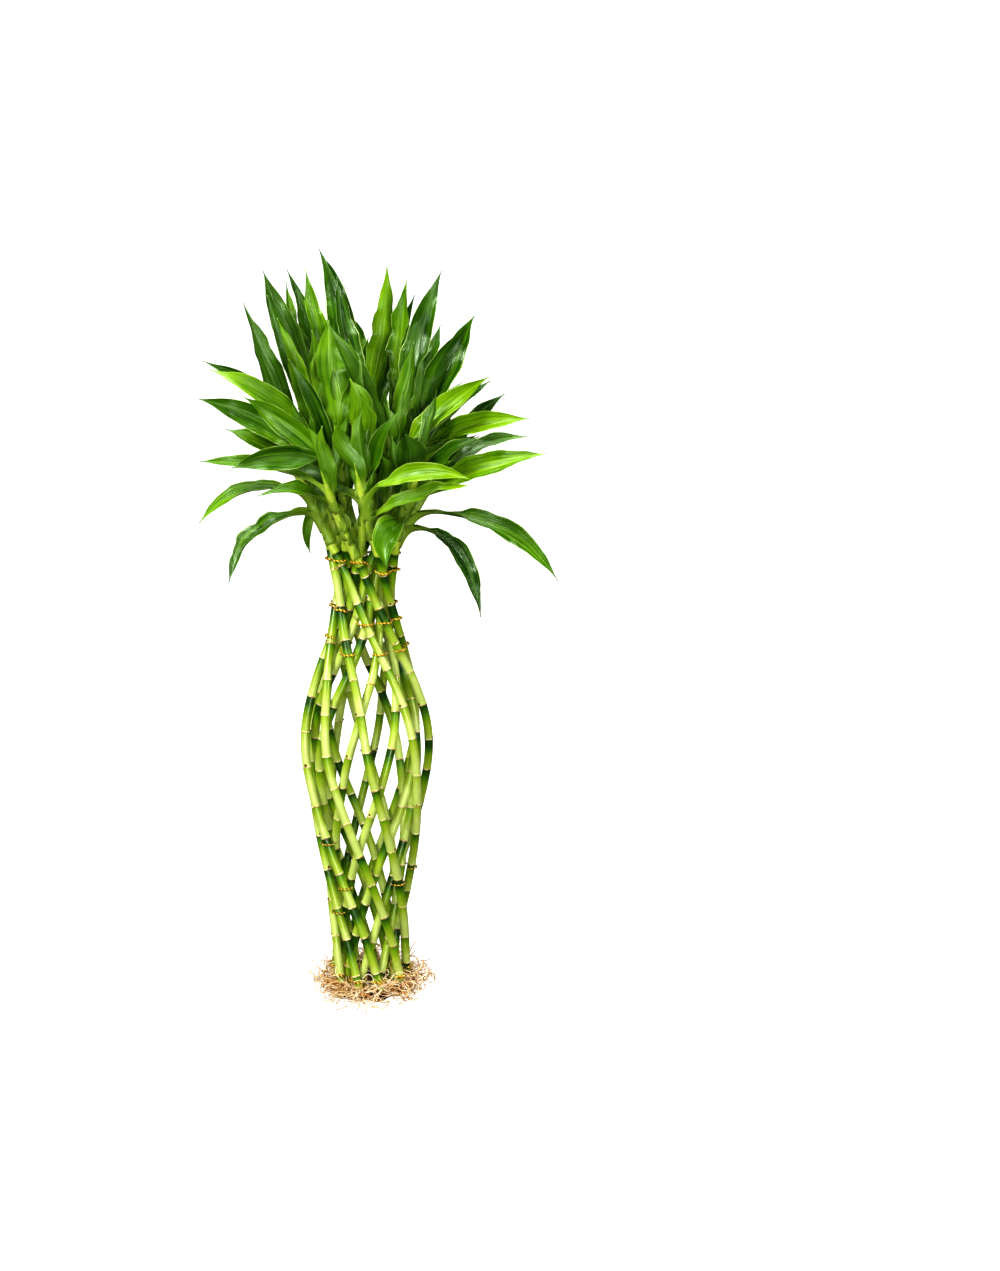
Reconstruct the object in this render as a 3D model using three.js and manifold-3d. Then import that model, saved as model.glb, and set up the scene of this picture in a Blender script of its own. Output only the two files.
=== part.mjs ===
// A lucky bamboo trained into the outline of a tall vase, in millimetres, +Z up.
// Eighteen canes stand in two layers that lean opposite ways, nine outside and nine inside.
// Gold and black wire runs round them where they cross, their feet stand in one mat of roots,
// and each cane carries a leafy shoot. The origin is on the floor, under the middle of the ring.

import * as THREE from "three";
import { mergeVertices } from "three/addons/utils/BufferGeometryUtils.js";
import Module from "manifold-3d";

const wasm = await Module();
wasm.setup();

const GAP = 0.3; // clearance kept between two pieces that touch
const { lerp, degToRad, radToDeg, clamp } = THREE.MathUtils;

// The vase outline that the outer canes' centre lines follow: [height, radius].
const OUTLINE = [
  [0, 44],
  [70, 44],
  [125, 48],
  [165, 53.5],
  [235, 66],
  [290, 74],
  [320, 75],
  [345, 72.5],
  [370, 66.5],
  [400, 57.5],
  [425, 48.5],
  [450, 41],
  [475, 35.5],
  [500, 32.2],
  [525, 34],
  [550, 39.5],
  [575, 47],
];

// How far a cane has turned round the axis, against where it stands at the belly: [height, degrees].
const OUTER_TURN = [
  [0, 97],
  [70, 73],
  [130, 47],
  [205, 20],
  [292, 0],
  [380, -12],
  [425, -26],
  [470, -50],
  [525, -88],
  [575, -120],
];
const INNER_TURN = [
  [0, -138],
  [70, -102],
  [130, -69],
  [205, -34],
  [260, -14],
  [317, 0],
  [380, 17],
  [430, 40],
  [470, 66],
  [525, 105],
  [575, 140],
];

// Where each cane crosses the belly, in degrees from the front, as the weaver spaced them by hand.
const LAYERS = {
  outer: { depth: 0, turn: OUTER_TURN, belly: [-74, -32, 8, 56, 95, 135, 176, 216, 252] },
  inner: { depth: 12.2, turn: INNER_TURN, belly: [-57, -15, 30, 71, 111, 152, 192, 231, 267] },
};

const CANE = { radius: 5.15, ring: 5.75, sides: 6, foot: 9, top: 552, collar: 3 };
const INTERNODE = { length: 44.5, spread: 4.5 };
const SHOOT = { radius: 5.5, tip: 4.5, sides: 6, stations: 4, knee: 0.34 };

// How the shoots of each layer grow: length and lean with their spread, how far they turn on,
// how many leaves they carry, and how those leaves go from the lowest to the topmost.
const GROWTH = {
  outer: {
    length: [104, 12],
    tilt: [30, 7],
    turn: -14,
    leaves: 5,
    foot: [0.45, 0.95],
    fan: [60, 15],
    pitch: [0, 58],
    bow: [32, 12],
    blade: 158,
  },
  inner: {
    length: [142, 16],
    tilt: [11, 5],
    turn: 12,
    leaves: 4,
    foot: [0.7, 0.95],
    fan: [90, 15],
    pitch: [48, 76],
    bow: [9, 9],
    blade: 176,
  },
};
const TURNED_SHOOTS = { outer_6: -30, outer_7: -10 }; // degrees that a shoot leans apart from its rule
const SEEN = 0.3; // how squarely a shoot faces the front if it carries measured leaves alone
const FLANK = { from: 0.5, narrow: 0.35 }; // shoots at the sides turn their other leaves to the back
const LEAF = { half: 16, rib: 2.2, ribTip: 1.1, stalk: 4.2, fold: 0.2, wave: 1.6, clear: 2.2 };
const FRONT = new THREE.Vector3(0, -1, 0.24).normalize(); // the side from which the plant is looked at
const TWIST = 110; // degrees of roll past which a blade rather shows its other face
const LEAF_STATIONS = [0, 0.14, 0.3, 0.47, 0.65, 0.83, 1];
const FREE = 0.3; // share of a blade that may meet the others of its own shoot
const STRAY = { start: 14, step: 0.7, swing: 0.25, bow: 0.2, roll: 1.2, shrink: 0.003, tries: 90 };
const TIE = { wire: 0.9, sides: 4, reach: 8, dip: 0.98, snug: 7.1, lean: 1.06, turns: [-62, 0, 62] };
const LOOP_TURNS = [-80, -40, 0, 40, 80];
const TIE_ROWS = [30, 443, 478, 537]; // heights of the rows of crossings that one wire runs round
const SEARCH = { row: 8, loop: 30 }; // how far above or below its height a wire finds a crossing
const LOOPS = [
  [1, 197],
  [1, 140],
  [3, 138],
  [4, 168],
  [9, 96],
]; // crossings that have a wire of their own: [outer cane, height]
const MAT = { top: 17, foot: 58, sides: 18, strands: 29, start: 47, reach: 78, hole: 0.65 };
const STRAND = { thick: 1.9, tip: 0.9, sides: 3, steps: 3, lift: [3, 9], stray: 26, curl: 40 };

// The leaves that give the head its outline, as measured: layer, cane, how far up its shoot,
// the leaf's tip in millimetres, how far its middle bows up, half its width, and how squarely
// its blade faces the front, from 0 for edge-on to 1.
const NAMED_LEAVES = [
  ["inner", 8, 0.96, [-47, 15, 902], 4, 18, 0.8],
  ["inner", 9, 0.9, [-36, -104, 823], 4, 14, 1],
  ["inner", 7, 0.95, [-30, -66, 826], 3, 23, 1],
  ["inner", 7, 0.85, [-137, -112, 666], 8, 16, 0.9],
  ["outer", 6, 0.95, [-21, -103, 713], 4, 13, 0.9],
  ["outer", 6, 0.9, [47, -95, 725], 4, 11, 0.9],
  ["outer", 6, 0.8, [129, -112, 653], 20, 12, 0.7],
  ["outer", 6, 0.55, [127, -103, 645], 8, 11, 0.8],
  ["outer", 7, 0.5, [34, -100, 548], 26, 19, 1],
  ["outer", 7, 0.95, [55, -85, 701], 6, 20, 1],
  ["outer", 7, 0.7, [215, -60, 675], 14, 16, 0.7],
  ["outer", 7, 0.9, [138, -70, 696], 8, 11, 0.7],
  ["outer", 5, 0.6, [-111, -110, 634], 22, 10, 0.7],
  ["inner", 7, 0.75, [-123, -85, 741], 8, 17, 0.85],
  ["inner", 8, 0.9, [-6, -88, 763], 3, 17, 1],
  ["inner", 8, 0.82, [8, -95, 744], 4, 13, 1],
  ["outer", 6, 0.82, [-84, -52, 671], 6, 11, 0.8],
  ["inner", 7, 0.65, [-73, -70, 780], 4, 11, 0.9],
  ["inner", 9, 0.96, [95, -10, 878], 6, 17, 0.8],
  ["inner", 9, 0.78, [149, -60, 762], 12, 15, 0.75],
  ["inner", 9, 0.85, [64, -45, 800], 4, 12, 1],
  ["outer", 8, 0.55, [230, -30, 520], 31, 14, 0.6],
  ["outer", 8, 0.4, [139, -40, 479], 34, 12, 0.6],
  ["outer", 8, 0.9, [194, 40, 681], 14, 12, 0.6],
  ["outer", 8, 0.96, [167, 30, 733], 8, 12, 0.7],
  ["outer", 8, 0.8, [134, 10, 679], 10, 12, 0.6],
  ["inner", 1, 0.96, [132, 0, 826], 6, 20, 0.9],
  ["inner", 1, 0.85, [195, -30, 711], 14, 15, 0.75],
  ["inner", 1, 0.75, [148, 0, 748], 10, 14, 0.7],
  ["inner", 1, 0.65, [135, -20, 686], 10, 13, 0.7],
  ["outer", 3, 0.96, [-135, 10, 840], 8, 16, 0.85],
  ["inner", 6, 0.95, [-171, -25, 767], 14, 14, 0.8],
  ["inner", 6, 0.8, [-183, -40, 735], 12, 17, 0.85],
  ["inner", 6, 0.9, [-104, -20, 851], 4, 12, 0.9],
  ["inner", 6, 0.85, [-92, -35, 826], 4, 12, 0.9],
  ["inner", 5, 0.96, [-110, 0, 876], 6, 18, 0.9],
  ["outer", 2, 0.96, [-192, 60, 769], 14, 14, 0.6],
  ["outer", 5, 0.92, [-179, -70, 667], 14, 11, 0.6],
  ["outer", 4, 0.95, [-154, -30, 699], 12, 14, 0.8],
  ["outer", 4, 0.8, [-184, -60, 595], 25, 13, 0.6],
  ["outer", 4, 0.6, [-154, -50, 522], 27, 12, 0.6],
  ["outer", 3, 0.8, [-64, 5, 547], 6, 7, 0.8],
  ["inner", 2, 0.96, [53, 30, 865], 6, 15, 0.8],
  ["inner", 2, 0.85, [90, 90, 809], 8, 14, 0.8],
  ["inner", 2, 0.9, [44, 60, 828], 6, 13, 0.7],
  ["inner", 2, 0.75, [78, 75, 785], 8, 13, 0.7],
  ["inner", 3, 0.96, [31, 20, 883], 6, 15, 0.8],
  ["inner", 3, 0.85, [61, 60, 846], 6, 13, 0.8],
  ["inner", 4, 0.96, [-67, 60, 876], 4, 14, 0.7],
  ["inner", 4, 0.85, [-90, 70, 875], 6, 16, 0.8],
  ["inner", 8, 0.92, [-27, -10, 874], 4, 15, 0.8],
  ["outer", 6, 0.9, [4, -74, 706], 2, 12, 1],
  ["inner", 9, 0.5, [26, -62, 674], 3, 9, 0.9],
  ["outer", 7, 0.8, [106, -40, 664], 6, 10, 0.7],
];

const COLOURS = {
  cane: { color: 0xa9cc46, roughness: 0.35, metalness: 0 },
  leaf: { color: 0x3f8a1e, roughness: 0.32, metalness: 0 },
  root: { color: 0xc9a878, roughness: 0.8, metalness: 0 },
  wire: { color: 0xd9a520, roughness: 0.3, metalness: 0.8 },
};

// Small repeatable random numbers, 0 to 1.
function randomFrom(seed) {
  let state = seed;
  return () => {
    state = (state + 0x6d2b79f5) | 0;
    let t = Math.imul(state ^ (state >>> 15), 1 | state);
    t = (t + Math.imul(t ^ (t >>> 7), 61 | t)) ^ t;
    return ((t ^ (t >>> 14)) >>> 0) / 4294967296;
  };
}

// A smooth curve through [x, y] points: cubic pieces whose slope at a point is that between its neighbours.
function smooth(points, x) {
  const last = points.length - 1;
  const i = clamp(points.findIndex((p) => p[0] > x) - 1, 0, last - 1);
  const k = x >= points[last][0] ? last - 1 : i;
  const slope = (j) => {
    const a = points[Math.max(j - 1, 0)];
    const b = points[Math.min(j + 1, last)];
    return (b[1] - a[1]) / (b[0] - a[0]);
  };
  const [x0, y0] = points[k];
  const [x1, y1] = points[k + 1];
  const width = x1 - x0;
  const t = (x - x0) / width;
  const blend = t * t * (3 - 2 * t);
  const lead = t * (1 - t) * (1 - t) * slope(k) * width;
  const trail = t * t * (1 - t) * slope(k + 1) * width;
  return y0 + (y1 - y0) * blend + lead - trail;
}

// A horizontal unit vector: 0 degrees is the front, -Y, and 90 degrees is +X.
function heading(degrees) {
  const a = degToRad(degrees);
  return new THREE.Vector3(Math.sin(a), -Math.cos(a), 0);
}

// A unit vector that leans from upright towards a heading.
function rising(degrees, lean) {
  const a = degToRad(lean);
  return heading(degrees).multiplyScalar(Math.sin(a)).setZ(Math.cos(a));
}

// A closed geometry over rings of equal count. A last ring of one point is a tip.
// The diagonals mirror from one side of a ring to the next, so both faces of a blade split alike.
function skin(rings, closed = false) {
  const count = rings[0].length;
  const vertices = rings.flat();
  const index = [];
  const segments = closed ? rings.length : rings.length - 1;
  for (let r = 0; r < segments; r++) {
    const next = (r + 1) % rings.length;
    for (let j = 0; j < count; j++) {
      const k = (j + 1) % count;
      const a = r * count + j;
      const b = r * count + k;
      if (rings[next].length === 1) {
        index.push(a, b, next * count);
        continue;
      }
      const c = next * count + j;
      const d = next * count + k;
      if (j % 2) index.push(a, b, c, b, d, c);
      else index.push(a, b, d, a, d, c);
    }
  }
  const cap = (first, flip) => {
    for (let j = 1; j < count - 1; j++) {
      index.push(first, first + (flip ? j + 1 : j), first + (flip ? j : j + 1));
    }
  };
  if (!closed) {
    cap(0, true);
    if (rings.at(-1).length > 1) cap((rings.length - 1) * count, false);
  }
  const geometry = new THREE.BufferGeometry().setFromPoints(vertices);
  geometry.setIndex(index);
  return geometry;
}

function solidOf(geometry) {
  const merged = mergeVertices(geometry, 1e-3);
  return new wasm.Manifold(
    new wasm.Mesh({
      numProp: 3,
      vertProperties: merged.attributes.position.array,
      triVerts: new Uint32Array(merged.index.array),
    }),
  );
}

function meshOf(solid, name, look) {
  const made = solid.getMesh();
  const geometry = new THREE.BufferGeometry();
  geometry.setAttribute("position", new THREE.BufferAttribute(made.vertProperties, 3));
  geometry.setIndex(new THREE.BufferAttribute(made.triVerts, 1));
  geometry.computeVertexNormals();
  const mesh = new THREE.Mesh(geometry, new THREE.MeshStandardMaterial(look));
  mesh.name = name;
  return mesh;
}

// Joins solids and keeps the biggest body, so a loose scrap drops out.
function joined(solids) {
  const bodies = solids.reduce((all, one) => all.add(one)).decompose();
  return bodies.sort((a, b) => b.volume() - a.volume())[0];
}

// A ring of points round a centre, square to the direction.
function roundRing(centre, direction, towards, radius, sides) {
  const side = new THREE.Vector3().crossVectors(direction, towards).normalize();
  const out = new THREE.Vector3().crossVectors(side, direction);
  return Array.from({ length: sides }, (_, j) => {
    const a = (2 * Math.PI * j) / sides;
    return centre
      .clone()
      .addScaledVector(out, radius * Math.cos(a))
      .addScaledVector(side, radius * Math.sin(a));
  });
}

// A cane: a point of its centre line at a height of the outline.
function canePoint(cane, height) {
  const step = 0.5;
  const radius = smooth(OUTLINE, height);
  const rise = (smooth(OUTLINE, height + step) - smooth(OUTLINE, height - step)) / (2 * step);
  const steep = Math.hypot(1, rise);
  const around = heading(cane.belly + smooth(cane.turn, height));
  const point = around.multiplyScalar(radius - cane.depth / steep);
  return point.setZ(height + (cane.depth * rise) / steep);
}

function caneDirection(cane, height) {
  return canePoint(cane, height + 1).sub(canePoint(cane, height - 1)).normalize();
}

// The rings at which the cane's leaves once sat, as lengths along it from its foot.
function internodes(cane, length) {
  const rings = [];
  let at = 14 + 6 * (1 + Math.sin(2.1 * cane.number));
  for (let k = 0; at < length - 12; k++) {
    rings.push(at);
    at += INTERNODE.length + INTERNODE.spread * Math.sin(2.4 * k + 1.7 * cane.number);
  }
  return rings;
}

// Heights of the outline at every millimetre of the cane's own length.
function heightsByLength(cane) {
  const heights = [cane.foot];
  while (heights.at(-1) < cane.top) {
    const h = heights.at(-1);
    heights.push(h + 1 / canePoint(cane, h + 1).distanceTo(canePoint(cane, h)));
  }
  return heights;
}

// A cane with a raised ring at each joint. Grow makes the hole that its foot stands in.
function caneSolid(cane, grow = 0) {
  const { heights } = cane;
  const stations = [[0, CANE.radius]];
  for (const at of internodes(cane, heights.length)) {
    stations.push([at - CANE.collar, CANE.radius], [at, CANE.ring]);
  }
  stations.push([heights.length - 1, CANE.radius]);
  return solidOf(
    skin(
      stations.map(([at, radius]) => {
        const h = heights[Math.round(at)];
        const direction = caneDirection(cane, h);
        const point = canePoint(cane, h).addScaledVector(direction, at === 0 ? -grow : 0);
        const out = new THREE.Vector3(point.x, point.y, 0).normalize();
        return roundRing(point, direction, out, radius + grow, CANE.sides);
      }),
    ),
  );
}

// A shoot goes on along its cane, then leans out: the outer ones far, the inner ones little.
function shootOf(cane) {
  const growth = GROWTH[cane.layer];
  const top = cane.heights.at(-1);
  const along = caneDirection(cane, top);
  const apart = TURNED_SHOOTS[`${cane.layer}_${cane.number}`] ?? 0;
  const facing = cane.belly + smooth(cane.turn, top) + growth.turn + apart;
  const tilt = growth.tilt[0] + growth.tilt[1] * Math.sin(2.7 * cane.number);
  const length = growth.length[0] + growth.length[1] * Math.sin(4.1 * cane.number);
  const base = canePoint(cane, top).addScaledVector(along, GAP);
  const knee = base.clone().addScaledVector(along, SHOOT.knee * length);
  const tip = knee.clone().addScaledVector(rising(facing, tilt), (1 - SHOOT.knee) * length);
  const curve = new THREE.QuadraticBezierCurve3(base, knee, tip);
  return { cane, curve, facing };
}

function shootSolid(shoot, grow = 0) {
  const rings = [];
  for (let k = 0; k < SHOOT.stations; k++) {
    const u = k / (SHOOT.stations - 1);
    const radius = lerp(SHOOT.radius, SHOOT.tip, u) + grow;
    const direction = shoot.curve.getTangent(u);
    const point = shoot.curve.getPoint(u);
    rings.push(roundRing(point, direction, heading(shoot.facing), radius, SHOOT.sides));
  }
  return solidOf(skin(rings));
}

// A blade's half width along it, as a share: narrow foot, widest near the middle, drawn-out tip.
function bladeWidth(t) {
  return (Math.pow(t, 1.25) * Math.pow(1 - t, 1.45)) / 0.155;
}

// A leaf's rib runs from its foot on the shoot to its tip, its middle bowed up and a little sideways.
function ribOf(leaf) {
  const chord = leaf.tip.clone().sub(leaf.foot);
  const across = new THREE.Vector3(-chord.y, chord.x, 0).normalize();
  const up = new THREE.Vector3().crossVectors(chord, across).normalize();
  const knee = leaf.foot.clone().addScaledVector(chord, 0.48);
  knee.addScaledVector(up, 2 * leaf.bow).addScaledVector(across, 2 * leaf.swing);
  return { across, curve: new THREE.QuadraticBezierCurve3(leaf.foot, knee, leaf.tip) };
}

// A blade folded a little along its rib, with waved edges. Grow makes the room that it needs.
function leafSolid(leaf, grow = 0, from = 0) {
  const { across, curve } = ribOf(leaf);
  const rings = LEAF_STATIONS.filter((t) => t >= from).map((t) => {
    const point = curve.getPoint(t);
    const direction = curve.getTangent(t);
    if (t === 1) return [point.addScaledVector(direction, grow)];
    const roll = degToRad(leaf.roll * Math.min(1, 2.5 * t));
    const up = new THREE.Vector3().crossVectors(direction, across).normalize();
    const side = new THREE.Vector3().crossVectors(up, direction);
    side.multiplyScalar(Math.cos(roll)).addScaledVector(up, Math.sin(roll));
    up.crossVectors(direction, side);
    const half = Math.max(leaf.half * bladeWidth(t), LEAF.stalk * (1 - 2 * t)) + grow;
    const thick = lerp(LEAF.rib, LEAF.ribTip, t) / 2 + grow;
    const sink = LEAF.fold * half * Math.min(1, 4 * t);
    const lift = LEAF.wave * Math.sin(leaf.phase + 15 * t) * bladeWidth(t);
    const edge = (sign, wave) =>
      point.clone().addScaledVector(side, sign * half).addScaledVector(up, wave);
    return [
      point.clone().addScaledVector(up, thick - sink),
      edge(-1, lift),
      point.clone().addScaledVector(up, -thick - sink),
      edge(1, -lift),
    ];
  });
  return solidOf(skin(rings));
}

// The roll that turns a blade's face to the front, by way of its other face where that is nearer.
function rollToFront(foot, tip) {
  const chord = tip.clone().sub(foot).normalize();
  const across = new THREE.Vector3(-chord.y, chord.x, 0).normalize();
  const up = new THREE.Vector3().crossVectors(chord, across);
  const roll = radToDeg(Math.atan2(-across.dot(FRONT), up.dot(FRONT)));
  return Math.abs(roll) > TWIST ? roll - 180 * Math.sign(roll) : roll;
}

function namedLeaf(shoot, [, , at, aim, bow, half, face]) {
  const foot = shoot.curve.getPoint(at);
  const tip = new THREE.Vector3(...aim);
  return { foot, tip, bow, half, roll: face * rollToFront(foot, tip) };
}

// The side that a shoot's leaf turns to: either in turn, but always backwards on the flanks.
function sideOf(shoot, k) {
  const flank = heading(shoot.facing).x;
  const odd = (k + shoot.cane.number) % 2;
  if (Math.abs(flank) < FLANK.from) return odd ? 1 : -1;
  return Math.sign(flank) * (odd ? 1 : FLANK.narrow);
}

// The other leaves of a shoot: the lower ones spread and arch, the upper ones stand.
function ruledLeaf(shoot, k, count) {
  const u = (k + 0.5) / count;
  const growth = GROWTH[shoot.cane.layer];
  const facing = shoot.facing + sideOf(shoot, k) * lerp(...growth.fan, u);
  const foot = shoot.curve.getPoint(lerp(...growth.foot, u));
  const reach = rising(facing, 90 - lerp(...growth.pitch, u));
  const tip = foot.clone().addScaledVector(reach, growth.blade);
  return { foot, tip, bow: lerp(...growth.bow, u), half: LEAF.half, roll: 0 };
}

// Tries a leaf near its natural place, wider and wider about it, until it clears all that is there.
function growLeaf(shoot, wanted, looseness, placed, random) {
  const either = () => 2 * random() - 1;
  const phase = 6 * random();
  for (let n = 0; n < STRAY.tries; n++) {
    const stray = looseness + STRAY.step * n;
    const leaf = { ...wanted, phase, tip: wanted.tip.clone() };
    leaf.swing = STRAY.swing * stray * either();
    leaf.tip.add(new THREE.Vector3(either(), either(), either()).multiplyScalar(stray));
    leaf.bow += STRAY.bow * stray * either();
    leaf.roll += STRAY.roll * stray * either();
    leaf.half *= 1 - STRAY.shrink * n;
    const room = leafSolid(leaf, LEAF.clear);
    const blade = leafSolid(leaf, LEAF.clear, FREE);
    const free = placed.every(({ head, whole, outer }) => {
      const mine = head === shoot;
      return (mine ? blade : room).intersect(mine ? outer : whole).isEmpty();
    });
    if (free) return leaf;
  }
  return null;
}

// The room that the canes, the shoots and the leaves already grown take up.
function takenBy(canes, shoots) {
  const stems = canes.map((cane) => {
    const solid = caneSolid(cane);
    return { head: null, whole: solid, outer: solid };
  });
  const stalks = shoots.map((shoot) => {
    return { head: shoot, whole: shootSolid(shoot), outer: shootSolid(shoot, -2) };
  });
  return [...stems, ...stalks];
}

function growHeads(canes) {
  const random = randomFrom(20);
  const shoots = canes.map((cane) => ({ ...shootOf(cane), leaves: [] }));
  const placed = takenBy(canes, shoots);
  const grow = (shoot, wanted, looseness) => {
    const leaf = growLeaf(shoot, wanted, looseness, placed, random);
    if (!leaf) return;
    const whole = leafSolid(leaf);
    placed.push({ head: shoot, whole, outer: leafSolid(leaf, 0, FREE) });
    shoot.leaves.push(whole);
  };
  for (const entry of NAMED_LEAVES) {
    const shoot = shoots.find(({ cane }) => cane.layer === entry[0] && cane.number === entry[1]);
    grow(shoot, namedLeaf(shoot, entry), 0);
  }
  const unseen = shoots.filter((shoot) => -heading(shoot.facing).y < SEEN);
  for (let k = GROWTH.outer.leaves - 1; k >= 0; k--) {
    for (const shoot of unseen) {
      const count = GROWTH[shoot.cane.layer].leaves;
      if (k >= count || shoot.leaves.length >= count) continue;
      grow(shoot, ruledLeaf(shoot, k, count), STRAY.start);
    }
  }
  return shoots;
}

// Where an outer cane crosses the inner one nearest to it, close to a wanted height.
function crossingNear(outer, inners, wanted, window) {
  let best = null;
  let least = Infinity;
  for (let h = wanted - window; h <= wanted + window; h += 1) {
    const a = outer.belly + smooth(outer.turn, h);
    for (const inner of inners) {
      const b = inner.belly + smooth(inner.turn, h);
      const apart = Math.abs(((((a - b) % 360) + 540) % 360) - 180);
      if (apart < least) {
        best = { height: h, around: ((a % 360) + 360) % 360, front: canePoint(outer, h), inner };
        least = apart;
      }
    }
  }
  return best;
}

function wireSolid(points) {
  const rings = points.map((point, i) => {
    const before = points.at(i - 1);
    const after = points[(i + 1) % points.length];
    const direction = after.clone().sub(before).normalize();
    return roundRing(point, direction, new THREE.Vector3(0, 0, 1), TIE.wire, TIE.sides);
  });
  return solidOf(skin(rings, true));
}

// One wire round the lattice: it lies over the face of every outer cane near where that crosses an
// inner one, and dips in between them.
function rowWire(canes, wanted) {
  const inners = canes.filter((c) => c.layer === "inner");
  const stops = canes
    .filter((c) => c.layer === "outer")
    .map((cane) => crossingNear(cane, inners, wanted, SEARCH.row))
    .sort((a, b) => a.around - b.around);
  const points = stops.flatMap(({ front, around }, i) => {
    const next = stops[(i + 1) % stops.length].front;
    const between = front.clone().add(next).multiplyScalar(0.5);
    between.multiply(new THREE.Vector3(TIE.dip, TIE.dip, 1));
    const over = TIE.turns.map((turn) =>
      front.clone().addScaledVector(heading(around + turn), TIE.reach),
    );
    return [...over, between];
  });
  return wireSolid(points);
}

// A loop of wire round one outer cane and the inner cane behind it.
function loopWire(canes, number, wanted) {
  const inners = canes.filter((c) => c.layer === "inner");
  const cane = canes.find((c) => c.layer === "outer" && c.number === number);
  const { height, around, front, inner } = crossingNear(cane, inners, wanted, SEARCH.loop);
  const halves = [
    [front, 1],
    [canePoint(inner, height), -1],
  ];
  const points = halves.flatMap(([centre, face]) =>
    LOOP_TURNS.map((turn) => {
      const deep = face * TIE.snug * Math.cos(degToRad(turn));
      const wide = face * TIE.snug * TIE.lean * Math.sin(degToRad(turn));
      return centre
        .clone()
        .addScaledVector(heading(around), deep)
        .addScaledVector(heading(around + 90), wide);
    }),
  );
  return wireSolid(points);
}

// The mat: a low mound that the feet stand in, with strands that run out of it along the floor.
function rootMat(canes) {
  const random = randomFrom(7);
  const profile = [
    [0, 0],
    [MAT.foot - 6, 0],
    [MAT.foot, 3],
    [MAT.foot - 4, 10],
    [MAT.foot - 12, MAT.top - 2],
    [MAT.foot / 2, MAT.top],
    [0, MAT.top + 3],
  ];
  const mound = new THREE.LatheGeometry(
    profile.map(([r, z]) => new THREE.Vector2(r, z)),
    MAT.sides,
  );
  mound.rotateX(Math.PI / 2);
  mound.deleteAttribute("normal");
  mound.deleteAttribute("uv");
  const pieces = [solidOf(mound)];
  for (let k = 0; k < MAT.strands; k++) {
    pieces.push(rootStrand((360 * k) / MAT.strands + 5 * random(), random));
  }
  const feet = canes.map((cane) => caneSolid(cane, MAT.hole)).reduce((all, one) => all.add(one));
  return joined([joined(pieces).subtract(feet)]);
}

// A strand leaves the mound, dips to the floor and wanders outwards, thinner to its tip.
function rootStrand(around, random) {
  const reach = MAT.reach * (0.86 + 0.28 * random()) - MAT.start;
  const lift = STRAND.lift[0] + STRAND.lift[1] * random();
  const stray = STRAND.stray * (random() - 0.5);
  const curl = STRAND.curl * (random() - 0.5);
  const rings = [];
  for (let k = 0; k <= STRAND.steps; k++) {
    const t = k / STRAND.steps;
    const out = heading(around + stray * t + curl * t * t);
    const low = lerp(5, 1.4, t);
    const point = out.clone().multiplyScalar(MAT.start + reach * t);
    point.setZ(low + lift * Math.sin(Math.PI * t));
    const radius = lerp(STRAND.thick, STRAND.tip, t);
    rings.push(roundRing(point, out, new THREE.Vector3(0, 0, 1), radius, STRAND.sides));
  }
  return solidOf(skin(rings));
}

function caneList() {
  return Object.entries(LAYERS).flatMap(([layer, { depth, turn, belly }]) =>
    belly.map((angle, i) => {
      const number = i + 1;
      const top = CANE.top + 8 * Math.sin(2.2 * number + depth);
      const cane = { layer, depth, turn, belly: angle, number, foot: CANE.foot, top };
      return { ...cane, heights: heightsByLength(cane) };
    }),
  );
}

function build() {
  const canes = caneList();
  const lattice = new THREE.Group();
  for (const cane of canes) {
    lattice.add(meshOf(caneSolid(cane), `cane_${cane.layer}_${cane.number}`, COLOURS.cane));
  }
  const foliage = new THREE.Group();
  for (const shoot of growHeads(canes)) {
    const { layer, number } = shoot.cane;
    const head = joined([shootSolid(shoot), ...shoot.leaves]);
    foliage.add(meshOf(head, `leafy_shoot_${layer}_${number}`, COLOURS.leaf));
  }
  const ties = new THREE.Group();
  TIE_ROWS.forEach((height, row) => {
    ties.add(meshOf(rowWire(canes, height), `wire_row_${row + 1}`, COLOURS.wire));
  });
  LOOPS.forEach(([number, height], k) => {
    ties.add(meshOf(loopWire(canes, number, height), `wire_loop_${k + 1}`, COLOURS.wire));
  });
  const plant = new THREE.Group();
  plant.add(lattice, foliage, ties, meshOf(rootMat(canes), "root_mat", COLOURS.root));
  return plant;
}

export default build();
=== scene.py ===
# %% [markdown]
# A lucky bamboo, its eighteen canes woven into the outline of a tall vase.
# The packed model is loaded first. It says where every cane, shoot, wire and root lies, and what
# is made here follows it: finer canes with their rings, leaves with thin waved blades, twisted wire
# and hundreds of curly roots. All sizes are in metres, and MM turns a workshop size into metres.

import math
import random

import bmesh
import bpy
import numpy as np
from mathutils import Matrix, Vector


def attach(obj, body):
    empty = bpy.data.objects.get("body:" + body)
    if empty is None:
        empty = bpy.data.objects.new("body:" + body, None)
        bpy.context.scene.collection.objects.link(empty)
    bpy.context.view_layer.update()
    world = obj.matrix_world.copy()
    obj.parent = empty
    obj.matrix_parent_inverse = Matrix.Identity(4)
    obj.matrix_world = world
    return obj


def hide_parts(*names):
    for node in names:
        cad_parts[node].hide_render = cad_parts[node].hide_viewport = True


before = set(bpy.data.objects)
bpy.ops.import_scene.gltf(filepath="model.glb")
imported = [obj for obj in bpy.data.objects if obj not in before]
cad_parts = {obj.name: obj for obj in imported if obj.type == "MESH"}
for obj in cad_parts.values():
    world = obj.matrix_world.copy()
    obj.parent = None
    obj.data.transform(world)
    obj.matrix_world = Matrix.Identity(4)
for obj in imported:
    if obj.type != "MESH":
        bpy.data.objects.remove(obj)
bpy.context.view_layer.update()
MM = 0.001
CANES = [(layer, number) for layer in ("outer", "inner") for number in range(1, 10)]

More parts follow.
